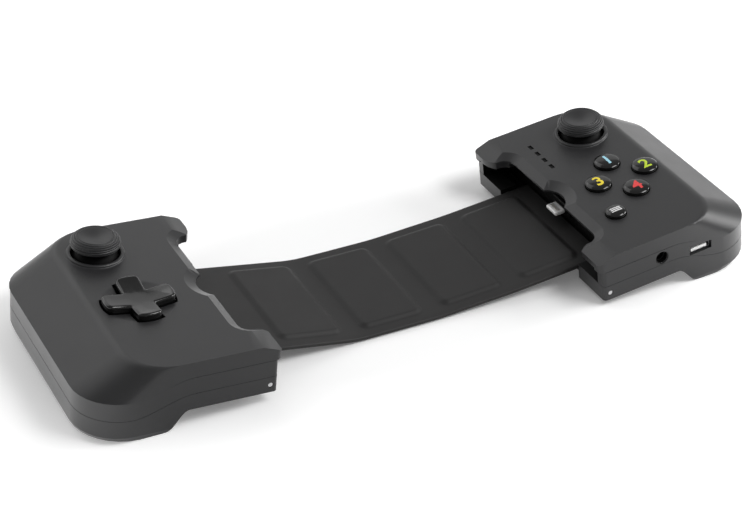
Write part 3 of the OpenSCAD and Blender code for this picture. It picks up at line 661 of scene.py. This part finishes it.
def button_section(radius):
    outer = radius + FLANGE
    ledge = BUTTON_LOW + FLANGE_HIGH
    rim = dome_height(radius, radius)
    body = [(0, BUTTON_LOW), (outer, BUTTON_LOW), (outer, ledge), (radius, ledge)]
    body += [(radius, rim - down) for down in WALL_POINTS]
    dome = [radius * math.cos(math.pi / 2 * i / DOME_STEPS) for i in range(1, DOME_STEPS + 1)]
    return body + [(r, dome_height(r, radius)) for r in dome]


for name, place in BUTTON_PLACES.items():
    radius = MENU_RADIUS if name == "menu_button" else BUTTON_RADIUS
    bm = spun("right", (*place, 0), button_section(radius))
    add_piece(name + "_dome", bm, "control_gloss", name, [name])

# %% [markdown]
# ### Numerals and menu bars
#
# The coloured marks are printed on the caps. A picture texture could carry them, but a mesh stays crisp
# close up. A text object becomes a mesh, is cut finer, and every vertex is laid on the dome, a hair above
# it.

# %% Lay a mark on a dome
MARK_LIFT = 0.02
MARK_DEPTH = 0.06
STROKE = 0.02
FONT_MERGE = 0.0001


def lay_on_dome(bm, place, radius):
    """Moves a flat bmesh in plan millimetres onto a button's dome and into the right grip's place."""
    bmesh.ops.triangulate(bm, faces=bm.faces)
    bmesh.ops.subdivide_edges(bm, edges=bm.edges, cuts=2, use_grid_fill=True)
    for v in bm.verts:
        v.co.z = dome_height(v.co.xy.length, radius) + MARK_LIFT
    made = bmesh.ops.extrude_face_region(bm, geom=bm.faces[:])
    low = [g for g in made["geom"] if isinstance(g, bmesh.types.BMVert)]
    bmesh.ops.translate(bm, verts=low, vec=(0, 0, -MARK_DEPTH))
    bmesh.ops.transform(bm, matrix=GRIPS["right"] @ Matrix.Translation((*place, 0)), verts=bm.verts)
    bmesh.ops.recalc_face_normals(bm, faces=bm.faces)


def numeral(text, size):
    """A numeral's flat mesh, centred on the origin, size millimetres high."""
    curve = bpy.data.curves.new("numeral", "FONT")
    curve.body = text
    curve.align_x = "CENTER"
    curve.offset = STROKE
    curve.resolution_u = 6
    obj = bpy.data.objects.new("numeral", curve)
    mesh = bpy.data.meshes.new_from_object(obj)
    bm = bmesh.new()
    bm.from_mesh(mesh)
    bpy.data.batch_remove([obj, curve, mesh])
    bmesh.ops.remove_doubles(bm, verts=bm.verts, dist=FONT_MERGE)
    low = [min(v.co[i] for v in bm.verts) for i in range(2)]
    high = [max(v.co[i] for v in bm.verts) for i in range(2)]
    center = Vector(((low[0] + high[0]) / 2, (low[1] + high[1]) / 2, 0))
    bmesh.ops.translate(bm, verts=bm.verts, vec=-center)
    bmesh.ops.scale(bm, verts=bm.verts, vec=(size / (high[1] - low[1]),) * 3)
    return bm


# %% Numerals
NUMERAL_HEIGHT = 5.2
NUMERALS = {
    "button_rear": ("1", "mark_blue", (0.36, 0.66, 0.78)),
    "button_outer": ("2", "mark_green", (0.50, 0.66, 0.05)),
    "button_inner": ("3", "mark_yellow", (0.83, 0.67, 0.06)),
    "button_front": ("4", "mark_red", (0.72, 0.07, 0.07)),
}


def mark_material(name, color):
    make_material(name, color, 0.45, mottle=0.04, specular=0.15)


for name, (text, finish, color) in NUMERALS.items():
    mark_material(finish, color)
    bm = numeral(text, NUMERAL_HEIGHT)
    lay_on_dome(bm, BUTTON_PLACES[name], BUTTON_RADIUS)
    add_piece(name + "_numeral", bm, None, name, finish=finish)

# %% Menu bars
BAR_HALF = (2.0, 0.24)
BAR_SPACING = 0.85
mark_material("mark_white", (0.78, 0.78, 0.78))
bm = bmesh.new()
for row in (-BAR_SPACING, 0, BAR_SPACING):
    bar = Matrix.Translation((0, row, 0)) @ Matrix.Diagonal((*BAR_HALF, 1, 1))
    bmesh.ops.create_grid(bm, x_segments=6, y_segments=1, size=1, matrix=bar)
lay_on_dome(bm, BUTTON_PLACES["menu_button"], MENU_RADIUS)
add_piece("menu_button_bars", bm, None, "menu_button", finish="mark_white")

# %% [markdown]
# ## The strap
#
# The strap is one moulded band of soft rubber with four raised pads, and it bends in the thin valleys
# between the pads. The skin here is one surface cut in the middle of each pad, where nothing bends. Each of
# the three middle pieces crosses one bend, and turns smoothly from one panel to the next. First the band's
# path is read from the joints, so that it can't stray from them.

# %% The strap's path
STRAP_Y = joints["strap_bend_a"]["pos_m"][1] / MM
PIN_DROP = 1.2
TONGUE = 8.2


def side_view(name):
    """A joint's x and z in millimetres."""
    place = joints[name]["pos_m"]
    return Vector((place[0], place[2])) / MM


def over_pin(pin, bend, sign):
    """The band passes PIN_DROP above its pin: the band's direction there, and its point over the pin."""
    way = (bend - pin) * sign
    angle = math.atan2(way.y, way.x) - sign * math.asin(PIN_DROP / way.length)
    above = PIN_DROP * Vector((-math.sin(angle), math.cos(angle)))
    return Vector((math.cos(angle), math.sin(angle))), pin + above


bends = [side_view("strap_bend_" + letter) for letter in "abc"]
pins = {side: side_view(side + "_strap_hinge") for side in GRIPS}
left_way, left_end = over_pin(pins["left"], bends[0], 1)
right_way, right_end = over_pin(pins["right"], bends[2], -1)
CORNERS = [left_end - TONGUE * left_way, *bends, right_end + TONGUE * right_way]
WAYS = [(b - a).normalized() for a, b in zip(CORNERS, CORNERS[1:])]
MARKS = [0.0]
for a, b in zip(CORNERS, CORNERS[1:]):
    MARKS.append(MARKS[-1] + (b - a).length)
print("the strap is", round(MARKS[-1], 1), "mm long, with bends at", [round(m, 1) for m in MARKS[1:4]])

# %% [markdown]
# ### Places on the strap
#
# Rubber doesn't kink, so the path's corners are rounded off with short curves. A place on the strap is then
# told by its length along the path, its distance from the middle line and its height above it.

# %% A place on the strap
SOFT_BEND = 5.0


def path_at(s):
    """The path's point and direction at a length s, with its corners at the bends rounded off."""
    for i in range(1, 4):
        if abs(s - MARKS[i]) < SOFT_BEND:
            t = (s - MARKS[i] + SOFT_BEND) / (2 * SOFT_BEND)
            start = CORNERS[i] - SOFT_BEND * WAYS[i - 1]
            end = CORNERS[i] + SOFT_BEND * WAYS[i]
            point = start * (1 - t) ** 2 + CORNERS[i] * 2 * t * (1 - t) + end * t * t
            return point, WAYS[i - 1].lerp(WAYS[i], t).normalized()
    i = sum(s > mark for mark in MARKS[1:4])
    return CORNERS[i] + WAYS[i] * (s - MARKS[i]), WAYS[i]


def strap_place(s, y, h):
    """A point of the strap in metres: s along its path, y across it and h above its middle."""
    point, way = path_at(s)
    point = point + h * Vector((-way.y, way.x))
    return Vector((point.x, STRAP_Y + y, point.y)) * MM


# %% [markdown]
# ### Raised pads
#
# Each pad is a low plateau with round corners and a soft step around it. A bevelled box would need joining
# to the band. Here a pad is a height that depends on the distance from the pad's outline, so the skin stays
# one surface.

# %% The height of the pads
STRAP_HALF = 26.5
PAD_RISE = 0.95
PAD_LENGTH = 23.4
PAD_HALF = STRAP_HALF - 4.3
PAD_CORNER = 3.0
PAD_FROM_BEND = 3.4
PAD_EDGE = 1.2
PAD_MIDDLES = [
    MARKS[1] - PAD_FROM_BEND - PAD_LENGTH / 2,
    (MARKS[1] + MARKS[2]) / 2,
    (MARKS[2] + MARKS[3]) / 2,
    MARKS[3] + PAD_FROM_BEND + PAD_LENGTH / 2,
]


def pad_rise(s, y):
    """The height of the pads: a soft step from a little outside a pad's outline to inside it."""
    along = min(abs(s - middle) for middle in PAD_MIDDLES)
    past = Vector((along - PAD_LENGTH / 2 + PAD_CORNER, abs(y) - PAD_HALF + PAD_CORNER))
    outside = Vector((max(past.x, 0), max(past.y, 0))).length - PAD_CORNER
    t = ramp(outside, PAD_EDGE / 2, -1.5 * PAD_EDGE)
    return PAD_RISE * t * t * (3 - 2 * t)


print("pads around", [round(m, 1) for m in PAD_MIDDLES], "mm along the strap")

# %% [markdown]
# ### The strap's surface
#
# A grid of vertices is rolled into a tube: one way runs along the strap, the other goes around its section,
# which has round edges. An even grid would need far too many faces. Its rows and columns stand close
# together only at the pads' steps and at the bends.

# %% Sections and stations
BAND_HALF = 0.8
FLAT_HALF = STRAP_HALF - BAND_HALF
FLAT_STEP = 10
STEP_REACH = 2.8
STEP_SPACING = 0.4
BEND_SPACING = 0.5
PAD_SPACING = 3
LEAST_SPACING = 0.2


def near(places, reach, step):
    """Stations on both sides of each place."""
    count = round(reach / step)
    return [place + step * i for place in places for i in range(-count, count + 1)]


def section_loop():
    """The band's section, closed: (across, height, share of the pad's rise)."""
    edge = PAD_HALF - PAD_CORNER / 2
    flat = (-FLAT_HALF, -FLAT_STEP, 0, FLAT_STEP, FLAT_HALF)
    top = sorted({*flat, *near([-edge, edge], STEP_REACH, STEP_SPACING)})
    side = arc((0, 0), (BAND_HALF, BAND_HALF), -75, 75, 10)
    loop = [(y, BAND_HALF, 1) for y in top]
    loop += [(FLAT_HALF + c, h, 0) for c, h in reversed(side)]
    loop += [(y, -BAND_HALF, 0) for y in reversed(flat)]
    loop += [(-FLAT_HALF - c, h, 0) for c, h in side]
    return loop + loop[:1]


def strap_stations(start, end):
    half = PAD_LENGTH / 2 - PAD_CORNER / 2
    steps = [middle + sign * half for middle in PAD_MIDDLES for sign in (-1, 1)]
    inner = near(steps, STEP_REACH, STEP_SPACING) + near(MARKS[1:4], SOFT_BEND, BEND_SPACING)
    inner += near(PAD_MIDDLES, 2 * PAD_SPACING, PAD_SPACING)
    kept = [start]
    for s in sorted(inner):
        if s - kept[-1] > LEAST_SPACING and s < end - LEAST_SPACING:
            kept.append(s)
    return kept + [end]


# %% Roll a grid into a tube
def rolled(rings, merge):
    """A grid of vertices laid on closed rings, so that it becomes a tube. Its two caps are given too."""
    bm = bmesh.new()
    along = len(rings) - 1
    around = len(rings[0]) - 1
    bmesh.ops.create_grid(bm, x_segments=along, y_segments=around, size=0.5)
    for v in bm.verts:
        v.co = rings[round((v.co.x + 0.5) * along)][round((v.co.y + 0.5) * around)]
    bmesh.ops.remove_doubles(bm, verts=bm.verts, dist=merge)
    open_edges = [e for e in bm.edges if e.is_boundary]
    return bm, bmesh.ops.holes_fill(bm, edges=open_edges, sides=0)["faces"]


def strap_skin(start, end):
    loop = section_loop()
    rings = []
    for s in strap_stations(start, end):
        rings.append([strap_place(s, y, h + share * pad_rise(s, y)) for y, h, share in loop])
    bm, _ = rolled(rings, MERGE * MM)
    bmesh.ops.recalc_face_normals(bm, faces=bm.faces)
    return bm


# %% [markdown]
# ### The strap's ends
#
# Each end passes into a grip and turns on a steel pin there. A sleeve under the band goes around the pin:
# two circles are bridged to a flat ring, and the ring is pushed along the pin.

# %% Ends of the strap
PIN_RADIUS = 0.9
SLEEVE_GAP = 0.05
SLEEVE_WALL = 1.0
SLEEVE_SIDES = 32


def add_sleeve(bm, pin):
    """The round sleeve under the band's end that turns on the pin."""
    radii = (PIN_RADIUS + SLEEVE_GAP, PIN_RADIUS + SLEEVE_WALL)
    circles = [bmesh.ops.create_circle(bm, radius=r * MM, segments=SLEEVE_SIDES)["verts"] for r in radii]
    verts = circles[0] + circles[1]
    edges = [e for e in bm.edges if all(v in verts for v in e.verts)]
    faces = bmesh.ops.bridge_loops(bm, edges=edges)["faces"]
    made = bmesh.ops.extrude_face_region(bm, geom=faces)["geom"]
    far = [g for g in made if isinstance(g, bmesh.types.BMVert)]
    bmesh.ops.translate(bm, verts=far, vec=(0, 0, 2 * STRAP_HALF * MM))
    place = Vector((pin.x, STRAP_Y + STRAP_HALF, pin.y)) * MM
    turn = Matrix.Translation(place) @ Matrix.Rotation(math.pi / 2, 4, "X")
    bmesh.ops.transform(bm, matrix=turn, verts=verts + far)
    bmesh.ops.recalc_face_normals(bm, faces=bm.faces)


bm = strap_skin(0, PAD_MIDDLES[0])
add_sleeve(bm, pins["left"])
add_piece("strap_left_end", bm, "strap_rubber", "strap_1", ["strap_band_1", "strap_pad_1"])
bm = strap_skin(PAD_MIDDLES[3], MARKS[4])
add_sleeve(bm, pins["right"])
add_piece("strap_right_end", bm, "strap_rubber", "strap_4", ["strap_band_4", "strap_pad_4"])

# %% [markdown]
# ### The strap's bends
#
# A piece that rode on one panel would open a gap when the next panel turns. Each of these three pieces is
# shared between two panels instead: its vertices go over from one motion to the other within a short
# stretch at the bend, as rubber does.

# %% Bending pieces of the strap
BEND_REACH = 3.2
replaced = [["strap_band_2", "strap_pad_2"], ["strap_band_3", "strap_pad_3"], []]
for i in range(3):
    bm = strap_skin(PAD_MIDDLES[i], PAD_MIDDLES[i + 1])
    piece = add_piece("strap_bend_" + "abc"[i], bm, "strap_rubber", None, replaced[i])
    start = strap_place(MARKS[i + 1] - BEND_REACH, 0, 0)
    end = strap_place(MARKS[i + 1] + BEND_REACH, 0, 0)
    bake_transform(piece, "strap_%d" % (i + 1), "strap_%d" % (i + 2), start, end)

# %% [markdown]
# ## The direction pad
#
# The pad is one glossy moulding: a cross with round arm ends, soft edges and a dished top. Bevelled boxes
# would meet badly in the cross's inner corners. Instead the cross's outline is drawn once, moved inward
# step by step, and the outlines become the rings of a rolled grid.

# %% The direction pad's outlines
PAD_ARM = 11.9
PAD_ARM_HALF = 4.1
PAD_LOW = GRIP_HEIGHT - 2.4
PAD_FLOOR = GRIP_HEIGHT + 1.1
PAD_DISH = 46.4
PAD_ROUND = 1.0
PAD_ROUND_STEPS = 6
PAD_CORNER_CUT = 1.6
LEAST_CUT = 0.15
PAD_FILLET = 0.5
PAD_INSETS = (1.6, 2.2, 2.9, 3.5, 3.9)


def cross_outline(inset):
    """The cross seen from above, moved inward by inset: round arm ends, soft corners and small fillets."""
    half = PAD_ARM_HALF - inset
    reach = PAD_ARM - inset
    cut = max(PAD_CORNER_CUT - inset, LEAST_CUT)
    fillet = PAD_FILLET + inset

    def on_end(y):
        return Vector((math.sqrt(reach ** 2 - y ** 2), y))

    ridge = [on_end((half - cut) * i / 3) for i in range(4)]
    tip = on_end(half)
    flank = Vector((tip.x - cut, half))
    for t in (0.25, 0.5, 0.75, 1):
        ridge.append(ridge[3] * (1 - t) ** 2 + tip * 2 * t * (1 - t) + flank * t * t)
    arm = [Vector((p.x, -p.y)) for p in reversed(ridge[1:])] + ridge
    arm += [Vector(p) for p in arc((half + fillet, half + fillet), (fillet, fillet), 270, 180, 5)[:-1]]
    return [Matrix.Rotation(math.pi / 2 * k, 2) @ p for k in range(4) for p in arm]


def pad_rings():
    """Closed rings of (x, y, w) from the pad's underside over its rounded edge to the middle of its dish."""
    levels = [(0, None), (0, PAD_ROUND)]
    for i in range(1, PAD_ROUND_STEPS + 1):
        angle = math.pi / 2 * i / PAD_ROUND_STEPS
        levels.append((PAD_ROUND * (1 - math.cos(angle)), PAD_ROUND * (1 - math.sin(angle))))
    levels += [(inset, 0) for inset in PAD_INSETS]
    rings = []
    for inset, below in levels:
        ring = []
        for p in cross_outline(inset):
            top = PAD_FLOOR + p.length_squared / (2 * PAD_DISH)
            ring.append((p.x, p.y, PAD_LOW if below is None else top - below))
        rings.append(ring + ring[:1])
    return rings


# %% Direction pad
PAD_PIVOT = GRIP_HEIGHT - 4.9
HUB_RADIUS = 2.6
HUB_HEIGHT = 3.6
HUB_RISE = 0.7
AXLE_RADIUS = 0.8
AXLE_LENGTH = 10.2


def add_rod(bm, radius, length, matrix, sides):
    bmesh.ops.create_cone(bm, cap_ends=True, segments=sides, radius1=radius, radius2=radius, depth=length,
                          matrix=matrix)


bm, caps = rolled(pad_rings(), MERGE)
bmesh.ops.triangulate(bm, faces=caps)
add_rod(bm, HUB_RADIUS, HUB_HEIGHT, Matrix.Translation((0, 0, PAD_PIVOT + HUB_RISE)), 48)
axle = Matrix.Translation((0, 0, PAD_PIVOT)) @ Matrix.Rotation(math.pi / 2, 4, "X")
add_rod(bm, AXLE_RADIUS, AXLE_LENGTH, axle, 24)
bmesh.ops.transform(bm, matrix=GRIPS["left"] @ Matrix.Translation((*CLUSTER, 0)), verts=bm.verts)
bmesh.ops.recalc_face_normals(bm, faces=bm.faces)
add_piece("direction_cross", bm, "control_gloss", body_of_node["dpad"], ["dpad"], crease=50)

# %% [markdown]
# ## The phone plug
#
# The plug is a stamped metal blade with a grey contact pad and eight small contacts on its upper side, and
# a black boot behind it. The blade and its carrier are soft copies of their solids. The flat extras are
# small bevelled boxes, because a bump wouldn't catch the light at their edges.

# %% Phone plug, contacts and boot
PLUG_TOP = Vector((8.3, 1.6, 9.75))
PLUG_ROUND = 0.6
CARRIER_ROUND = 0.3
CONTACT_PAD = (2.0, 5.0, 0.08)
CONTACT = (1.3, 0.34, 0.08)
CONTACT_ROUND = 0.03
CONTACT_RISE = 0.02
CONTACTS = 8
CONTACT_SPACING = 0.62
CONTACT_START = -2.17
BOOT = (4.0, 7.4, 2.3)
BOOT_ROUND = 0.3
BOOT_PLACE = PLUG_TOP + Vector((3.9, 0, -0.7))
make_material("contact_grey", (0.72, 0.72, 0.72), 0.4, mottle=0.05)
make_material("contact_gold", (0.85, 0.74, 0.55), 0.3, metallic=1.0, mottle=0.06)


def add_box(name, size, center, rounding, finish):
    """A box in the right grip's plan, with rounded edges."""
    bm = bmesh.new()
    bmesh.ops.create_cube(bm, size=1, matrix=Matrix.Translation(center) @ Matrix.Diagonal((*size, 1)))
    bmesh.ops.bevel(bm, geom=bm.edges[:], offset=rounding, affect="EDGES", segments=3, profile=0.5,
                    material=-1)
    bmesh.ops.transform(bm, matrix=GRIPS["right"], verts=bm.verts)
    bmesh.ops.recalc_face_normals(bm, faces=bm.faces)
    add_piece(name, bm, None, "right_grip", finish=finish)


soft_copy("phone_plug", PLUG_ROUND, segments=4)
soft_copy("plug_carrier", CARRIER_ROUND, finish="inner_black")
add_box("plug_contact_pad", CONTACT_PAD, PLUG_TOP, CONTACT_ROUND, "contact_grey")
for i in range(CONTACTS):
    place = PLUG_TOP + Vector((0, CONTACT_START + CONTACT_SPACING * i, CONTACT_RISE))
    add_box("plug_contact_%d" % (i + 1), CONTACT, place, CONTACT_ROUND, "contact_gold")
add_box("plug_boot", BOOT, BOOT_PLACE, BOOT_ROUND, "inner_black")

# %% [markdown]
# ## Sockets, pins and light guides
#
# The front of the right grip has a round audio opening and a charging socket with a tongue. The strap pins,
# the phone stop and the light pipe's four ends show in their shells' openings. Soft copies of their solids
# are enough, as each is small. A spun ring lines the audio opening, where the edge catches the light.

# %% Sockets, pins and light guides
SOCKET_ROUND = 0.15
SMALL_ROUND = 0.2
make_material("socket_metal", (0.22, 0.22, 0.23), 0.35, metallic=1.0, mottle=0.08)
soft_copy("charge_socket", SOCKET_ROUND, finish="socket_metal")
for name in ("audio_socket", "left_strap_pin", "right_strap_pin", "left_phone_stop", "light_pipe"):
    soft_copy(name, SMALL_ROUND)

# %% Tongue in the charging socket with a painted reflection, and ring in the audio opening
CHARGE = Vector((39.1, 1.35 - HALF_DEPTH, 6.3))
CHARGE_TONGUE = (6.4, 0.9, 1.3)
TONGUE_PLACE = CHARGE + Vector((-0.4, 0, -0.1))
AUDIO = Vector((23.5, 1.5 - HALF_DEPTH, 8.6))
RING_INNER = 2.2
RING_OUTER = 2.5
RING_BACK = -0.6
RING_FRONT = 0.9
# The tongue is a pale, nearly plain box, larger than the socket's own: its colour paints the bright
# reflection of light on the metal inside the socket.
add_box("charge_tongue_reflection", CHARGE_TONGUE, TONGUE_PLACE, SMALL_ROUND, "plug_metal")
middle = (RING_INNER + RING_OUTER) / 2
lip = RING_OUTER - middle
ring_section = [(RING_INNER, RING_BACK), (RING_OUTER, RING_BACK)]
ring_section += arc((middle, RING_FRONT), (lip, lip), 0, 180, 6) + ring_section[:1]
bm = spun("right", AUDIO, ring_section, steps=48, turn=Matrix.Rotation(math.pi / 2, 4, "X"))
add_piece("audio_ring", bm, None, "right_grip", finish="control_gloss")

# %% [markdown]
# ## Screws
#
# Four steel screws close each grip from below. A head is a short disc with a six-sided socket. A Boolean
# could cut it, but it is simpler to draw a smaller ring inside the disc's face to a hexagon and push it in.

# %% Screws with six-sided sockets
HEAD_RADIUS = 2.0
HEAD_HEIGHT = 1.0
SOCKET_RADIUS = 0.95
SOCKET_DEPTH = 0.6
SCREW_RADIUS = 0.95
SCREW_TOP = 11.6
SCREW_PLACES = [(17.0, -37.9, 0.5), (18.6, 33.2, 0.5), (47.5, -31.0, -7.27), (47.5, 30.2, -7.27)]


def draw_socket(bm, face):
    """Draws a head's face to a hexagon inside a ring and pushes it in."""
    bmesh.ops.inset_region(bm, faces=[face], thickness=HEAD_RADIUS / 2)
    for v in face.verts:
        angle = math.atan2(v.co.y, v.co.x) % (math.pi / 3) - math.pi / 6
        v.co = v.co.normalized() * SOCKET_RADIUS * math.cos(math.pi / 6) / math.cos(angle)
    socket = bmesh.ops.extrude_discrete_faces(bm, faces=[face])["faces"][0]
    bmesh.ops.translate(bm, verts=socket.verts, vec=(0, 0, SOCKET_DEPTH))


def screw_mesh(side, place):
    bm = bmesh.new()
    bmesh.ops.create_circle(bm, cap_ends=True, radius=HEAD_RADIUS, segments=36)
    rim = bm.edges[:]
    draw_socket(bm, bm.faces[:][0])
    made = bmesh.ops.extrude_edge_only(bm, edges=rim)["geom"]
    top = [g for g in made if isinstance(g, bmesh.types.BMVert)]
    bmesh.ops.translate(bm, verts=top, vec=(0, 0, HEAD_HEIGHT))
    lid = [g for g in made if isinstance(g, bmesh.types.BMEdge) and g.is_boundary]
    bmesh.ops.contextual_create(bm, geom=lid)
    length = SCREW_TOP - place[2] - HEAD_HEIGHT
    add_rod(bm, SCREW_RADIUS, length, Matrix.Translation((0, 0, HEAD_HEIGHT + length / 2)), 24)
    bmesh.ops.transform(bm, matrix=GRIPS[side] @ Matrix.Translation(place), verts=bm.verts)
    mesh = bpy.data.meshes.new("screw")
    bm.to_mesh(mesh)
    bm.free()
    return mesh


for side in GRIPS:
    bm = bmesh.new()
    for place in SCREW_PLACES:
        mesh = screw_mesh(side, place)
        bm.from_mesh(mesh)
        bpy.data.meshes.remove(mesh)
    bmesh.ops.recalc_face_normals(bm, faces=bm.faces)
    add_piece(side + "_screw_set", bm, "steel", side + "_grip", [side + "_screws"])

# %% [markdown]
# ## Stage, light and camera
#
# ### A white floor
#
# The photograph has a white ground that burns out to pure white, with soft shadows near the controller. A
# brighter light would burn out the controller too. The floor's material glows instead: for the camera it
# glows more, the farther it lies from the part, so that near the part it is darker: painted shade. In
# mirrored rays it glows beside, behind and far to the right: painted reflections of white cards that the
# scene doesn't have.

# %% Floor and its math nodes
bpy.ops.mesh.primitive_plane_add(size=8, location=(0, 0, 0))
floor = bpy.context.object
floor.name = "floor"
floor_white = make_material("floor_white", (0.90, 0.90, 0.90), 0.9, mottle=0.02)
floor.data.materials.append(floor_white)
tree = floor_white.node_tree


def math_node(operation, first, second=0.0, third=0.0):
    """A math node of the floor's material. Each input is a number or another node's output."""
    node = tree.nodes.new("ShaderNodeMath")
    node.operation = operation
    for socket, value in zip(node.inputs, (first, second, third)):
        if isinstance(value, float):
            socket.default_value = value
        else:
            tree.links.new(value, socket)
    return node.outputs[0]


def faded(value, start, end):
    """0 at start, 1 at end, and straight between them."""
    node = tree.nodes.new("ShaderNodeMapRange")
    node.inputs["From Min"].default_value = start
    node.inputs["From Max"].default_value = end
    tree.links.new(value, node.inputs["Value"])
    return node.outputs["Result"]


# %% The floor's glow in mirrored rays: painted reflections
# In mirrored rays only, the floor glows in four areas, so the dark plastic shows painted reflections of
# white cards that aren't there.
RIGHT_REFLECTION_GLOW = 0.15
BESIDE_REFLECTION_GLOW = 1.2
BEHIND_REFLECTION_GLOW = 0.9
FAR_RIGHT_REFLECTION_GLOW = 0.8
rays = tree.nodes.new("ShaderNodeLightPath").outputs
parts = tree.nodes.new("ShaderNodeSeparateXYZ")
tree.links.new(tree.nodes.new("ShaderNodeTexCoord").outputs["Object"], parts.inputs[0])
x_place = parts.outputs["X"]
y_place = parts.outputs["Y"]
# The places where a glow starts and ends are in metres.
aside = math_node("ABSOLUTE", x_place)
beside = math_node("MULTIPLY", faded(aside, 0.095, 0.14), faded(aside, 0.30, 0.20))
behind = math_node("MULTIPLY", faded(y_place, 0.03, 0.06), faded(aside, 0.13, 0.09))
far_right = math_node("MULTIPLY", faded(x_place, 0.27, 0.36), faded(y_place, 0.18, 0.3))
painted_reflection = math_node("MULTIPLY", faded(x_place, -0.12, 0.05), RIGHT_REFLECTION_GLOW)
for area, strength in ((beside, BESIDE_REFLECTION_GLOW), (behind, BEHIND_REFLECTION_GLOW), (far_right, FAR_RIGHT_REFLECTION_GLOW)):
    painted_reflection = math_node("MULTIPLY_ADD", area, strength, painted_reflection)
painted_reflection = math_node("MULTIPLY", painted_reflection, rays["Is Glossy Ray"])

# %% The floor's glow for the camera, less near the part: painted shade
# The floor glows least inside an oval around the part, which paints a darker shade there; outside the oval
# it glows more and burns out white.
PAINTED_SHADE_GLOW = 0.1
GLOW_MORE = 0.25
OVAL_X = 50.0
OVAL_Y = 200.0
y_share = math_node("MULTIPLY", math_node("MULTIPLY", y_place, y_place), OVAL_Y)
painted_shade_oval = math_node("MULTIPLY_ADD", math_node("MULTIPLY", x_place, x_place), OVAL_X, y_share)
seen = math_node("MULTIPLY_ADD", faded(painted_shade_oval, 0.45, 1.1), GLOW_MORE, PAINTED_SHADE_GLOW)
shader = tree.nodes["Principled BSDF"]
shader.inputs["Emission Color"].default_value = (1, 1, 1, 1)
glow = math_node("MULTIPLY_ADD", rays["Is Camera Ray"], seen, painted_reflection)
tree.links.new(glow, shader.inputs["Emission Strength"])
print("the floor has", len(tree.nodes), "shader nodes")

# %% [markdown]
# ### Softboxes and the world
#
# Broad lamps give the soft sheen on the covers' slopes. A softbox to the front right lights the tops, one
# on the right lights the right grip's side, and three dim ones at the rear and the left give the dark
# plastic something to mirror. Area lights show up in reflections as softboxes do. Point lights would leave
# small hot spots. The world is white where the camera sees it and dim elsewhere, so that it fills the
# shadows only a little.

# %% Lights
LIGHTS = {
    "front_softbox": ((0.52, -0.46, 0.86), (0, 0, 0), (0.55, 0.45), 8),
    "right_softbox": ((1.2, -0.2, 0.48), (0, 0, 0), (0.6, 0.5), 8),
    "upper_rear": ((-0.45, 0.9, 1.0), (0, 0, 0), (1.5, 0.8), 1.0),
    "backdrop": ((0.4, 1.5, 0.65), (0, 0, 0.1), (3.2, 1.1), 0.56),
    "left_low": ((-0.95, 0.95, 0.35), (0, 0, 0), (0.6, 0.5), 1.5),
}


def add_area(name, location, target, size, brightness):
    """A soft rectangle of light. A brightness of 1 looks white in a mirror."""
    light = bpy.data.lights.new(name, "AREA")
    light.shape = "RECTANGLE"
    light.size = size[0]
    light.size_y = size[1]
    light.energy = brightness * math.pi * size[0] * size[1]
    obj = bpy.data.objects.new(name, light)
    bpy.context.scene.collection.objects.link(obj)
    obj.location = location
    obj.rotation_euler = (Vector(target) - Vector(location)).to_track_quat("-Z", "Y").to_euler()
    obj.visible_camera = False
    print(name, round(light.energy, 2), "W")


for name, values in LIGHTS.items():
    add_area(name, *values)

# %% World
WORLD_FILL = 0.3
WORLD_SEEN = 1.0
world = bpy.data.worlds.new("studio")
bpy.context.scene.world = world
world.use_nodes = True
world_tree = world.node_tree
back = world_tree.nodes["Background"]
back.inputs["Color"].default_value = (1, 1, 1, 1)
world_rays = world_tree.nodes.new("ShaderNodeLightPath").outputs
level = world_tree.nodes.new("ShaderNodeMapRange")
level.inputs["To Min"].default_value = WORLD_FILL
level.inputs["To Max"].default_value = WORLD_SEEN
world_tree.links.new(world_rays["Is Camera Ray"], level.inputs["Value"])
world_tree.links.new(level.outputs["Result"], back.inputs["Strength"])
bpy.context.scene.view_settings.view_transform = "Standard"

# %% [markdown]
# ### The camera
#
# The camera stands where the photograph was taken from. It could be pointed by eye, but its place, its turn
# and its lens were fitted together to the photograph, so that the two pictures can be laid over each other.

# %% Camera
CAMERA_PLACE = Vector((-0.26628, -0.51202, 0.38621))
CAMERA_TURN = (56.8195, -0.7202, -26.7319)
camera_data = bpy.data.cameras.new("camera")
camera_data.sensor_fit = "HORIZONTAL"
camera_data.sensor_width = 36
camera_data.lens = 96.645
camera_data.clip_start = 0.01
camera = bpy.data.objects.new("camera", camera_data)
bpy.context.scene.collection.objects.link(camera)
turn = Euler([math.radians(angle) for angle in CAMERA_TURN])
camera.matrix_world = Matrix.LocRotScale(CAMERA_PLACE, turn, None)
bpy.context.scene.camera = camera
print("camera at", [round(c, 3) for c in camera.location])
